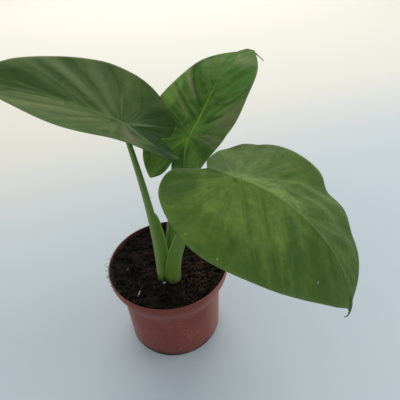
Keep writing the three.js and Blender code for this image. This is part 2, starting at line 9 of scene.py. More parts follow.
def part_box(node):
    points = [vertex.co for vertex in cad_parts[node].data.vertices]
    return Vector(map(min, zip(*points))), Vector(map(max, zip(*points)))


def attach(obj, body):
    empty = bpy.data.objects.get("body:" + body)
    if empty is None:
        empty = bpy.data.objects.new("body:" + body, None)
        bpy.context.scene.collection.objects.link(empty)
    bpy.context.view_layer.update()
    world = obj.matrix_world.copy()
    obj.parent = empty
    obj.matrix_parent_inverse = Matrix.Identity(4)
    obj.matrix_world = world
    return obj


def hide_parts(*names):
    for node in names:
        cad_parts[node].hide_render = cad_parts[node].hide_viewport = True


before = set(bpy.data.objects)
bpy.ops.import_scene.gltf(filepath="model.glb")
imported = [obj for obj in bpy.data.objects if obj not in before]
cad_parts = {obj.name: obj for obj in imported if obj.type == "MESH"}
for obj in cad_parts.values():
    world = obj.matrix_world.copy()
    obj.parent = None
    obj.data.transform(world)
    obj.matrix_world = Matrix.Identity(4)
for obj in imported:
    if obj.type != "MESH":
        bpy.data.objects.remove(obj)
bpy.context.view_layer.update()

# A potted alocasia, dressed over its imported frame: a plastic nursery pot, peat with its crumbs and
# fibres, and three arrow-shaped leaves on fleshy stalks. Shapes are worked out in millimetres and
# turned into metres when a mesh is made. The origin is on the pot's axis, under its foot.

MM = 0.001

# The camera was found from the ellipses of the pot's rim and foot. Its place and the floor's reach
# are in millimetres, and the lights' places and sizes in metres.

CAMERA = {"place": (35.46, -278.18, 389.71), "tilt": 38.49, "roll": -3.39, "lens": 36, "sensor": 36}
FLOOR_REACH = 12000
LIGHTS = {
    "window": {
        "place": (-0.1, 1.9, 1.3), "aim": (0, 0.25, 0.1), "size": (2.4, 1.2),
        "power": 30, "colour": (1, 0.94, 0.84),
    },
    "side": {
        "place": (1.3, 0.1, 0.7), "aim": (0, 0, 0.1), "size": (0.8, 0.8),
        "power": 4, "colour": (1, 0.96, 0.94),
    },
}

# Pot and soil. Lying fibres are given as their count, middle, spread, lengths and radii, and pale
# bits as their ends and radius. The heading of the hairs on the rim is a mean and a spread, and out
# and lift are ranges.

POT = {
    "height": 93, "rim_radius": 60, "body_top_radius": 51.2, "foot_radius": 48.8, "sides": 192,
    "flare_from": 60, "flare_to": 89, "flare_rings": 24, "wall": 1.6, "lip_round": 0.7,
    "floor_height": 4.5, "floor_thickness": 2, "floor_corner": 3,
    "foot_ring_width": 6, "foot_pad_radius": 14, "foot_ease": 1,
    "drain_holes": 6, "drain_radius": 4, "drain_circle": 31, "drain_sides": 32,
}
JOIN_WITHIN = 0.001
POT_TINTS = {
    "plain": (0.175, 0.036, 0.027), "mottled": (0.215, 0.05, 0.037), "flow": (0.12, 0.03, 0.022),
    "dust": (0.32, 0.19, 0.15), "foot": (0.1, 0.05, 0.04), "sides": (0.36, 0.17, 0.145),
    "foot_dark": (0.02, 0.011, 0.008), "peat": (0.018, 0.007, 0.005),
}
SOIL = {
    "level": 86, "lump": 0.9, "gap": 0.3, "edge_drop": 3, "chamfer": 3.4, "chamfer_height": 4,
    "rings": 110, "sides": 300,
}
MOUND = {"place": (-50, -26), "width": 9, "height": 1.5}
BANK = {"from": 36, "width": 18, "height": 3}
RIGHT_PEAT = (31, -12)
PEAT = ((0.005, 0.004, 0.003), (0.032, 0.018, 0.012), 0.5)
GRAINS = {"off_wall": 1.5, "raised": 0.3, "uneven": 0.35, "flattened": 0.7}
LYING_FIBRES = [
    (130, RIGHT_PEAT, (14, 13), (5, 14), (0.14, 0.3)),
    (40, (-15, -5), (26, 26), (4, 10), (0.1, 0.2)),
]
LYING_REACH = 56
STRAND_POINTS = 8
RIM_HAIR = {
    "count": 55, "heading": (198, 15), "swing": 0.09, "inside": 5, "out": (1.5, 5), "lift": (-1.5, 3),
    "start": 1, "over_rim": 0.2, "radius": 0.15,
}
PALE_BITS = [
    ((-28, -38.8), (-26.2, -32.6), 0.45),
    ((-4.6, -23.9), (-1.9, -22.9), 1.1),
    ((-41.4, -4), (-40.6, -3.4), 0.4),
    ((12.8, -25), (13.9, -24.2), 0.45),
]

# Blades. An outline's lengths are parts of the blade's length ahead of the stalk and parts of the
# lobe's length behind it, and its widths are parts of the half width.

FRONT_OUTLINE = [
    (1, 0.014), (0.955, 0.04), (0.9, 0.13), (0.78, 0.36), (0.58, 0.66), (0.36, 0.89), (0.13, 1),
]
LOBE_OUTLINE = [(-0.1, 0.98), (-0.3, 0.84), (-0.45, 0.6), (-0.5, 0.38), (-0.47, 0.18)]
NOTCH_SHOULDER = {"along": 0.42, "width": 0.055}
OUTLINE_END = len(FRONT_OUTLINE) + len(LOBE_OUTLINE) + 2
RIGHT_FAN = 40
FRONT_VEINS = [0.77, 0.62, 0.47, 0.33, 0.2, 0.09, 0]
FIRST_VEIN_END = 5.4
LOBE_VEINS = [7.6, 8.8, 9.9, 10.9, 12.2]
BLADE = {
    "thickness": 0.8, "margin_thickness": 0.35, "midrib_depth": 2.2, "vein_rib_depth": 0.6,
    "lobe_reach": 0.6, "lobe_cup_end": 0.4, "droop_from": 0.8, "vein_bow": 0.025, "wave_shift": 1.3,
    "fan_end": 0.25, "puff_full": {"fan": 0.65, "ahead": 0.4}, "puff_fade": 0.72, "flat_tip": 0.4,
    "lobe_puff_from": 4, "lobe_puff_to": -12, "costa_steps": 40, "midrib_steps": 240,
    "columns": 14, "tip_columns": 12, "column_pull": 0.8, "rows": 46, "row_growth": 1.3,
}
RELIEF = {
    "groove": {"height": 0.22, "width": 0.8},
    "crest": {"height": 0.2, "width": 1.8},
    "costa": {"height": 0.35, "width": 1.6},
    "dimple": {"height": 0.8, "width": 2.6},
}
PETIOLE = {
    "base": 84, "tuck": 0.16, "tuck_end": 0.06, "inside_blade": 0.45, "flattened": 0.06,
    "wing_growth": 0.4, "wing_foot": 0.6, "wing_spread": 0.6, "sides": 48, "stations": 110,
    "groove": {"depth": 0.5, "width": 0.2}, "edge": {"off": 0.42, "width": 0.16},
}

# Angles are in degrees. A blade's own axes are along the midrib, across to its left, and up. bend is
# how far the midrib turns down by its tip, in two parts, the second growing with the square of the
# length, and tip_droop what its last fifth adds. lobe_lift is how the lobes rise. cup is the rise of
# each half by the stalk, lobe_cup and tip_cup what it becomes in the lobes and at the tip, curl its
# further turn down towards the margin, twist the turn about the midrib by the tip, and turn its
# sideways bend. drip is the thin point past the tip, and point narrows the tip. puff is the blade's
# height between two veins as a part of their distance, and lobe_puff what is left of it in the lobes.
# sweep is how evenly the veins spread, and costa is the place of a lobe's main vein on the outline.
# wave and dents raise and lower the margin. base, low and high are the first three corners of a
# stalk's curve.

LEAVES = {
    "leaf_left": {
        "stalk_end": (-20.5, -1.7, 250.3), "heading": 176.6, "pitch": 25.1, "roll": 2.2,
        "length": 113, "half_width": {"left": 72, "right": 57.1}, "lobe": {"left": 0.82, "right": 0.74},
        "notch": 0.27, "point": 1.07, "bend": (-9.5, 22.9), "lobe_lift": 32.6, "tip_droop": 0,
        "twist": -10.2, "turn": 10.4, "cup": 10.7, "lobe_cup": 8.2, "tip_cup": 14.8, "curl": -14.5,
        "drip": {"length": 0.06, "curl": 40, "turn": 0}, "puff": {"left": 0.1, "right": 0.1},
        "lobe_puff": 0.4, "sweep": {"left": 2.2, "right": 2.2}, "costa": {"left": 9.45, "right": 10.95},
        "wave": {"height": 0.6, "count": 4.7, "phase": 4.2},
        "dents": [
            {"side": "right", "at": 4.1, "width": 0.6, "depth": -2.1},
            {"side": "right", "at": 6.6, "width": 0.44, "depth": -0.8},
        ],
        "petiole": {
            "base": (-5.2, -17.5), "low": (-5.5, -3, 140), "high": (-12.5, -1.5, 192.5),
            "base_radius": 5.6, "top_radius": 1.7, "painted_lit_back": 0.97,
            "sheath": {"heading": 15, "width": 10, "top": 0.45},
        },
    },
    "leaf_back": {
        "stalk_end": (29.8, 34.1, 215.1), "heading": 49.8, "pitch": 29.8, "roll": -19.2,
        "length": 132.3, "half_width": {"left": 61.3, "right": 54.5},
        "lobe": {"left": 0.71, "right": 0.69}, "notch": 0.2, "point": 1.1, "bend": (-51.5, 108.4),
        "lobe_lift": 0.7, "tip_droop": 14.1, "twist": 17.5, "turn": 16, "cup": 4.5, "lobe_cup": -9.2,
        "tip_cup": -7.3, "curl": -9.9, "drip": {"length": 0.11, "curl": -7.3, "turn": -40},
        "puff": {"left": 0.09, "right": 0.03}, "lobe_puff": 1, "sweep": {"left": 0.9, "right": 0.6},
        "costa": {"left": 9.9, "right": 10.35}, "wave": {"height": 1.2, "count": 6, "phase": 2.1},
        "dents": [{"side": "left", "at": 4.2, "width": 0.5, "depth": 1.2}],
        "petiole": {
            "base": (2, -6), "low": (2.5, -2.5, 130), "high": (14.5, 14.5, 184.5), "base_radius": 5.4,
            "top_radius": 2.4, "painted_lit_back": 0.6, "sheath": {"heading": -40, "width": 1.5, "top": 0.3},
        },
    },
    "leaf_right": {
        "stalk_end": (60.4, -74.9, 243.7), "heading": -21.7, "pitch": -12.4, "roll": -0.6,
        "length": 145.3, "half_width": {"left": 78.1, "right": 59.6},
        "lobe": {"left": 0.37, "right": 0.59}, "notch": 0.14, "point": 1.02, "bend": (96, -29.5),
        "lobe_lift": 18.5, "tip_droop": 11.7, "twist": 25, "turn": 3.5, "cup": -21.6, "lobe_cup": -12.8,
        "tip_cup": -0.2, "curl": -13.1, "drip": {"length": 0.045, "curl": 43.5, "turn": -11.5},
        "puff": {"left": 0.07, "right": 0.05}, "lobe_puff": 1, "sweep": {"left": 1.1, "right": 1.1},
        "costa": {"left": 9.9, "right": 9.9}, "wave": {"height": 0.8, "count": 4.9, "phase": -0.6},
        "dents": [
            {"side": "left", "at": 5.35, "width": 0.29, "depth": 5.6},
            {"side": "left", "at": 4.49, "width": 0.29, "depth": 1.8},
            {"side": "left", "at": 9.4, "width": 0.6, "depth": 2.2},
        ],
        "petiole": {
            "base": (5.2, -18.5), "low": (5.8, -21, 130), "high": (29.5, -48, 205.5),
            "base_radius": 7.8, "top_radius": 2.8, "painted_lit_back": 0.4,
            "sheath": {"heading": 165, "width": 2.5, "top": 0.5},
        },
    },
}

# Colours are linear red, green and blue. A patch is an ellipse on the flat blade: its middle, its
# radii, its colour and its strength. A stroke runs along the side veins: its place at the midrib and
# at the margin and its half width, counted in side veins, the part of the way out where it starts and
# ends, its tint and its strength. Besides the blade's own tone, patches and strokes paint light, shade
# and sheen: painted shade on the lobes, painted light over lit parts, and light, pale, tone and dark
# bands along the veins where the puffed blade is lit, shaded and glossy.

LEAF_LOOKS = {
    "leaf_left": {
        "dark": (0.032, 0.078, 0.018), "middle": (0.074, 0.134, 0.034), "light": (0.17, 0.22, 0.1),
        "pale": (0.22, 0.26, 0.13), "tone": (0.14, 0.14, 0.095), "shade": (0.01, 0.034, 0.01),
        "vein": (0.09, 0.15, 0.06), "midrib": (0.1, 0.19, 0.06), "costa": (0.11, 0.17, 0.08),
        "roughness": (0.58, 0.7), "gloss": 0.05, "glow": 0.16, "margin": 0.45, "margin_end": 9.5,
        "painted_light_band": 0.1, "blotch": 0.2, "mottle": 0.1, "painted_trough_shade": 0.3, "vein_width": 0.8,
        "vein_strength": 0.15, "costa_width": 2.4, "costa_strength": 0.8, "midrib_width": 1.3,
        "midrib_end": 0.3,
        "patches": [
            ((10, -30), (50, 40), (0.085, 0.12, 0.04), 0.4),
            ((55, -22), (45, 22), (0.13, 0.18, 0.075), 0.4),
            ((40, 24), (50, 28), (0.15, 0.19, 0.08), 0.5),
            # The last two patches are painted shade on the near and far lobes.
            ((-27, 10), (25, 26), (0.01, 0.034, 0.01), 0.95),
            ((-30, -20), (20, 24), (0.02, 0.065, 0.01), 0.9),
        ],
        "strokes": {
            "left": [
                (6.6, 5.7, 0.1, 0.1, 0.95, "dark", 0.7), (4.45, 5.4, 0.1, 0.3, 0.95, "dark", 0.7),
                (7.15, 6.7, 0.08, 0.1, 0.95, "dark", 0.5), (7.8, 7.5, 0.1, 0.15, 0.95, "dark", 0.4),
                (6.9, 6.2, 0.1, 0.1, 0.95, "light", 0.5), (9.5, 9.7, 0.45, 0.12, 0.8, "tone", 0.9),
                (8.85, 8.95, 0.07, 0.05, 0.6, "dark", 0.6), (10.8, 10.8, 0.9, 0.65, 1, "shade", 0.95),
                (12.8, 12.8, 0.9, 0.05, 1, "shade", 0.95), (11.2, 10.55, 0.2, 0.15, 0.6, "light", 0.5),
                (9.95, 9.95, 0.14, 0.6, 1, "dark", 0.6),
            ],
            "right": [
                (6.2, 6.12, 0.08, 0.1, 1, "light", 0.6), (6.6, 6.36, 0.14, 0.15, 1, "dark", 0.7),
                (7.2, 6.68, 0.2, 0.05, 1, "light", 0.85), (7.95, 7.75, 0.35, 0.2, 1, "light", 0.6),
                (7.54, 7.18, 0.09, 0.1, 1, "dark", 0.6), (8.2, 8.2, 0.12, 0.05, 0.4, "dark", 0.4),
                (8.8, 8.18, 0.08, 0.5, 0.95, "dark", 0.75), (8.48, 8.48, 0.05, 0.05, 0.5, "light", 0.7),
                (8.85, 8.8, 0.2, 0.5, 1, "light", 0.3), (9.7, 9.7, 0.45, 0.5, 1, "dark", 0.5),
                (5.5, 5.6, 0.3, 0.2, 0.85, "dark", 0.7), (5.9, 5.9, 0.5, 0.93, 1, "light", 0.6),
                (10.88, 8.8, 0.1, 0.05, 0.7, "dark", 0.95), (11.2, 11, 0.8, 0.3, 1, "shade", 0.45),
                (13.2, 13.2, 0.7, 0.1, 1, "shade", 0.8),
            ],
        },
    },
    "leaf_back": {
        "dark": (0.023, 0.072, 0.009), "middle": (0.074, 0.175, 0.022), "light": (0.16, 0.25, 0.075),
        "pale": (0.25, 0.3, 0.14), "tone": (0.16, 0.16, 0.09), "vein": (0.09, 0.2, 0.035),
        "midrib": (0.12, 0.27, 0.035), "costa": (0.12, 0.27, 0.035),
        "roughness": (0.55, 0.68), "gloss": 0.04, "glow": 0.2, "margin": 0.5, "margin_end": 12,
        "painted_light_band": 0.1, "blotch": 0.3, "mottle": 0.1, "painted_trough_shade": 0.3, "vein_width": 0.9,
        "vein_strength": 0.35, "costa_width": 2.2, "costa_strength": 0.7, "midrib_width": 2.2,
        "midrib_end": 0.15,
        "patches": [
            ((40, 40), (40, 26), (0.085, 0.2, 0.03), 0.5),
            ((66, -24), (32, 24), (0.062, 0.175, 0.02), 0.85),
            ((44, 47), (30, 12), (0.18, 0.33, 0.07), 0.85),
            ((78, 10), (22, 24), (0.11, 0.22, 0.05), 0.7),
            ((16, -20), (6, 10), (0.012, 0.05, 0.004), 0.8),
            ((-22, -6), (14, 11), (0.012, 0.045, 0.007), 0.85),
            ((0, 0), (15, 15), (0.09, 0.22, 0.02), 0.6),
            ((92, -14), (20, 20), (0.11, 0.22, 0.06), 0.5),
        ],
        "strokes": {
            "left": [
                (8, 7.86, 0.05, 0.03, 0.9, "light", 0.8), (8.35, 8.3, 0.2, 0.1, 1, "dark", 0.8),
                (7.3, 6.62, 0.18, 0.3, 1, "pale", 0.8), (6.8, 6.5, 0.12, 0.05, 0.95, "dark", 0.7),
                (6.6, 6.25, 0.05, 0.03, 0.95, "light", 0.7), (5.95, 5.62, 0.22, 0.35, 1, "pale", 0.85),
                (6, 5.2, 0.15, 0.1, 1, "dark", 0.95), (5.4, 4.95, 0.2, 0.2, 1, "dark", 0.35),
                (4.97, 4.8, 0.06, 0.1, 0.9, "light", 0.5), (3.9, 3.67, 0.2, 0.3, 1, "light", 0.5),
            ],
            "right": [
                (1.9, 4.3, 0.45, 0.25, 0.97, "pale", 0.65), (4.6, 4.6, 0.3, 0.5, 0.95, "dark", 0.5),
                (5.15, 7, 0.12, 0.1, 0.8, "dark", 0.5), (5.15, 8, 0.14, 0.25, 0.9, "dark", 0.7),
                (6.9, 8.1, 0.25, 0.4, 0.95, "light", 0.6), (7.12, 8.75, 0.16, 0.2, 0.6, "dark", 0.95),
                (7.67, 8.57, 0.1, 0.1, 0.95, "light", 0.6), (8.1, 8.6, 0.45, 0.6, 1, "tone", 0.7),
                (9.3, 9.3, 0.7, 0.3, 1, "dark", 0.5), (8.72, 9.28, 0.08, 0.1, 1, "tone", 0.9),
                (9.1, 9.53, 0.06, 0.15, 1, "tone", 0.9), (9.6, 9.9, 0.3, 0.1, 1, "dark", 0.7),
                (11.6, 11.8, 0.5, 0.15, 1, "dark", 0.9),
            ],
        },
    },
    "leaf_right": {
        "dark": (0.046, 0.104, 0.013), "middle": (0.08, 0.155, 0.02), "light": (0.125, 0.19, 0.035),
        "pale": (0.19, 0.28, 0.09), "tone": (0.045, 0.11, 0.03), "vein": (0.13, 0.21, 0.05),
        "midrib": (0.13, 0.22, 0.05), "costa": (0.14, 0.22, 0.05),
        "roughness": (0.42, 0.54), "gloss": 0.1, "glow": 0.16, "margin": 0.7, "margin_end": 13,
        "painted_light_band": 0.05, "blotch": 0.6, "mottle": 0.38, "painted_trough_shade": 0.25, "vein_width": 0.9,
        "vein_strength": 0.2, "costa_width": 1.2, "costa_strength": 0.3, "midrib_width": 1.6,
        "midrib_end": 0.5,
        "patches": [
            # Painted light over the junction and midrib.
            ((14, -12), (52, 30), (0.185, 0.3, 0.06), 0.65),
            ((20, -52), (70, 9), (0.05, 0.12, 0.02), 0.4),
            # These two patches are painted shade on the near and far lobes.
            ((-35, -18), (17, 24), (0.038, 0.095, 0.017), 0.85),
            ((-18, 16), (15, 26), (0.03, 0.075, 0.012), 0.9),
            ((107, -14), (22, 18), (0.055, 0.11, 0.022), 0.5),
            ((30, 11), (22, 8), (0.2, 0.3, 0.09), 0.7),
            ((-11, -50), (11, 6), (0.12, 0.19, 0.035), 0.6),
            ((62, 35), (18, 5), (0.05, 0.11, 0.025), 0.7),
            ((-1.2, 4.2), (3.2, 2.4), (0.04, 0.085, 0.015), 0.8),
            ((86.2, -23), (1.1, 1.1), (0.6, 0.68, 0.6), 1.0),
            ((7.7, -56), (0.8, 0.8), (0.25, 0.36, 0.22), 1.0),
            ((-15.3, -51.6), (0.7, 0.7), (0.25, 0.36, 0.2), 1.0),
        ],
        "strokes": {
            "left": [
                (8, 5.6, 0.14, 0.15, 0.97, "pale", 0.7), (7.8, 4.05, 0.25, 0.15, 0.9, "pale", 0.6),
                (7.2, 5, 0.1, 0.1, 0.9, "tone", 0.5), (4.9, 4.9, 0.4, 0.75, 1, "tone", 0.6),
                (6.6, 6.6, 0.2, 0.8, 1, "tone", 0.5), (12, 12, 1, 0.4, 1, "dark", 0.7),
                (7.7, 7.7, 0.3, 0.8, 1, "tone", 0.4),
            ],
            "right": [
                (7.83, 8.1, 0.12, 0.1, 0.6, "tone", 0.4), (6.86, 7.1, 0.1, 0.1, 0.5, "tone", 0.35),
                (7.45, 7.45, 0.25, 0.3, 0.9, "light", 0.5), (5.6, 6, 0.22, 0.15, 1, "tone", 0.75),
                (5, 5, 0.35, 0.3, 1, "dark", 0.6), (12.2, 12, 0.15, 0.2, 0.8, "light", 0.4),
                (10.5, 10.4, 0.3, 0.25, 0.7, "light", 0.5), (9.7, 9.7, 0.3, 0.6, 0.95, "light", 0.4),
            ],
        },
    },
}
UNDERSIDE = {
    "dark": (0.075, 0.15, 0.045), "middle": (0.11, 0.2, 0.06), "light": (0.15, 0.25, 0.08),
    "vein": (0.22, 0.36, 0.11), "midrib": (0.28, 0.44, 0.14), "costa": (0.26, 0.42, 0.13),
    "roughness": (0.55, 0.65), "gloss": 0.25, "painted_light_band": 0.2, "blotch": 0.4, "mottle": 0.2, "painted_trough_shade": 0.3,
    "vein_width": 1.1, "vein_strength": 0.8, "costa_width": 2.4, "costa_strength": 0.9,
    "midrib_width": 3.4, "midrib_end": 0.8,
    "patches": [],
}
STALK_TINTS = {
    "top": (0.076, 0.17, 0.017), "base": (0.11, 0.21, 0.022), "edge": (0.18, 0.29, 0.06),
    "shaded": (0.035, 0.1, 0.008), "pale": (0.22, 0.3, 0.11), "soiled_and_shaded": (0.025, 0.018, 0.008),
}


# Meshes

def smoothstep(value, low, high):
    share = np.clip((value - low) / (high - low), 0, 1)
    return share * share * (3 - 2 * share)


def bell(value, width):
    """1 at no value and less on both sides, in the shape of a bell."""
    return np.exp(-(value / width) ** 2)


def circle_of(sides):
    """Points of a circle of radius 1."""
    angles = np.arange(sides) * 2 * np.pi / sides
    return np.stack([np.cos(angles), np.sin(angles)], -1)


def new_object(name, data):
    made = bpy.data.objects.new(name, data)
    bpy.context.scene.collection.objects.link(made)
    return made


def new_mesh(name, points, faces):
    """A mesh from points in millimetres."""
    mesh = bpy.data.meshes.new(name)
    mesh.from_pydata((np.asarray(points) * MM).tolist(), [], faces)
    return mesh


def make_piece(name, points, faces, material, smooth=True):
    """A mesh object that rides on the root, from points in millimetres."""
    mesh = new_mesh(name, points, faces)
    mesh.validate()
    mesh.polygons.foreach_set("use_smooth", [smooth] * len(mesh.polygons))
    mesh.materials.append(material)
    piece = new_object(name, mesh)
    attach(piece, "root")
    return piece


def store(piece, name, values):
    """Keeps a vector for each point of a piece, for its material to read."""
    attribute = piece.data.attributes.new(name, "FLOAT_VECTOR", "POINT")
    attribute.data.foreach_set("vector", np.asarray(values, dtype=np.float32).ravel())


def ring_faces(rings, sides):
    """Quads that join rings of points, each ring closed on itself."""
    faces = []
    for i in range(rings - 1):
        for k in range(sides):
            after = (k + 1) % sides
            low = i * sides
            faces.append((low + k, low + after, low + sides + after, low + sides + k))
    return faces


def capped_rings(rings, sides):
    """Quads that join rings of points, and one face across each end."""
    faces = ring_faces(rings, sides)
    last = (rings - 1) * sides
    faces.append(tuple(range(sides))[::-1])
    faces.append(tuple(range(last, last + sides)))
    return faces


def close_on_axis(points, sides, low, high):
    """Adds a point on the upright axis at each end of a stack of rings, and returns all the faces."""
    faces = ring_faces(len(points) // sides, sides)
    last = len(points) - sides
    points.extend([(0, 0, low), (0, 0, high)])
    for k in range(sides):
        after = (k + 1) % sides
        faces.append((last + sides, after, k))
        faces.append((last + sides + 1, last + k, last + after))
    return faces


def joined(meshes):
    """Points and faces of several small meshes as one mesh."""
    points = []
    faces = []
    for mesh_points, mesh_faces in meshes:
        start = len(points)
        points.extend(mesh_points)
        faces.extend(tuple(start + i for i in face) for face in mesh_faces)
    return points, faces


def lathe(profile, sides):
    """Points and faces of a profile of (radius, height) turned about the upright axis."""
    circle = circle_of(sides)
    points = [(radius * x, radius * y, height) for radius, height in profile[1:-1] for x, y in circle]
    return points, close_on_axis(points, sides, profile[0][1], profile[-1][1])


def arc(centre, radius, start, end, steps):
    """Points of (radius, height) on an arc from one angle to another, in degrees."""
    angles = np.radians(np.linspace(start, end, steps))
    return [(centre[0] + radius * np.cos(a), centre[1] + radius * np.sin(a)) for a in angles]


# Materials

class Look:
    """A material, or the world, built node by node. A value given to a socket is linked if it comes
    from a node."""

    def __init__(self, name, world=False):
        self.owner = bpy.data.worlds.new(name) if world else bpy.data.materials.new(name)
        self.output = "OutputWorld" if world else "OutputMaterial"
        self.owner.use_nodes = True
        self.tree = self.owner.node_tree
        self.tree.nodes.clear()

    def give(self, socket, value):
        if isinstance(value, bpy.types.NodeSocket):
            self.tree.links.new(value, socket)
        elif isinstance(value, tuple) and len(value) == 3 and socket.type == "RGBA":
            socket.default_value = (*value, 1)
        else:
            socket.default_value = value

    def node(self, kind, inputs, **settings):
        made = self.tree.nodes.new("ShaderNode" + kind)
        for name, value in settings.items():
            setattr(made, name, value)
        for name, value in inputs.items():
            self.give(made.inputs[name], value)
        return made

    def attribute(self, name):
        return self.node("Attribute", {}, attribute_name=name).outputs["Vector"]

    def split(self, vector):
        return list(self.node("SeparateXYZ", {"Vector": vector}).outputs)

    def place(self):
        return self.node("TexCoord", {}).outputs["Object"]

    def scaled(self, vector, scale):
        return self.node("VectorMath", {0: vector, 1: scale}, operation="MULTIPLY").outputs[0]

    def math(self, operation, a, b=0.0):
        return self.node("Math", {0: a, 1: b}, operation=operation).outputs[0]

    def times(self, a, b):
        return self.math("MULTIPLY", a, b)

    def uneven(self, value, noise, amount):
        """A value that a noise moves up and down."""
        return self.math("ADD", value, self.times(self.math("SUBTRACT", noise, 0.5), amount))

    def ramp(self, value, low, high, start=0.0, end=1.0):
        """start up to low, end from high on, and smooth between them."""
        inputs = {"Value": value, "From Min": low, "From Max": high, "To Min": start, "To Max": end}
        return self.node("MapRange", inputs, interpolation_type="SMOOTHSTEP").outputs[0]

    def fall(self, value, low, high, start, rest=0.3):
        """start up to low, and a part of it from high on."""
        return self.ramp(value, low, high, start, rest * start)

    def line(self, gap, width, core):
        """1 within the core part of a width from a line, and 0 beyond the width."""
        return self.ramp(self.math("DIVIDE", gap, width), 1.0, core)

    def noise(self, vector, scale, detail, flat=False, distortion=0.0):
        inputs = {"Vector": vector, "Scale": scale, "Detail": detail, "Distortion": distortion}
        return self.node("TexNoise", inputs, noise_dimensions="2D" if flat else "3D").outputs[0]

    def cell_borders(self, vector, scale):
        """Distance to the borders of flat cells."""
        settings = {"voronoi_dimensions": "2D", "feature": "DISTANCE_TO_EDGE"}
        return self.node("TexVoronoi", {"Vector": vector, "Scale": scale}, **settings).outputs["Distance"]

    def mix(self, share, a, b):
        return self.node("Mix", {0: share, 6: a, 7: b}, data_type="RGBA").outputs[2]

    def tint(self, colour, other, value, low, high, strength=1.0):
        """A colour that gives way to another as a value goes from low to high, up to a strength."""
        return self.mix(self.ramp(value, low, high, 0.0, strength), colour, other)

    def bump(self, height, distance, strength, under=None):
        inputs = {"Height": height, "Distance": distance, "Strength": strength}
        if under is not None:
            inputs["Normal"] = under
        return self.node("Bump", inputs).outputs[0]

    def surface(self, colour, roughness, normal, **fixed):
        inputs = {"Base Color": colour, "Roughness": roughness}
        if normal is not None:
            inputs["Normal"] = normal
        inputs.update({name.replace("_", " "): value for name, value in fixed.items()})
        return self.node("BsdfPrincipled", inputs).outputs[0]

    def finish(self, shader):
        self.node(self.output, {"Surface": shader})
        return self.owner


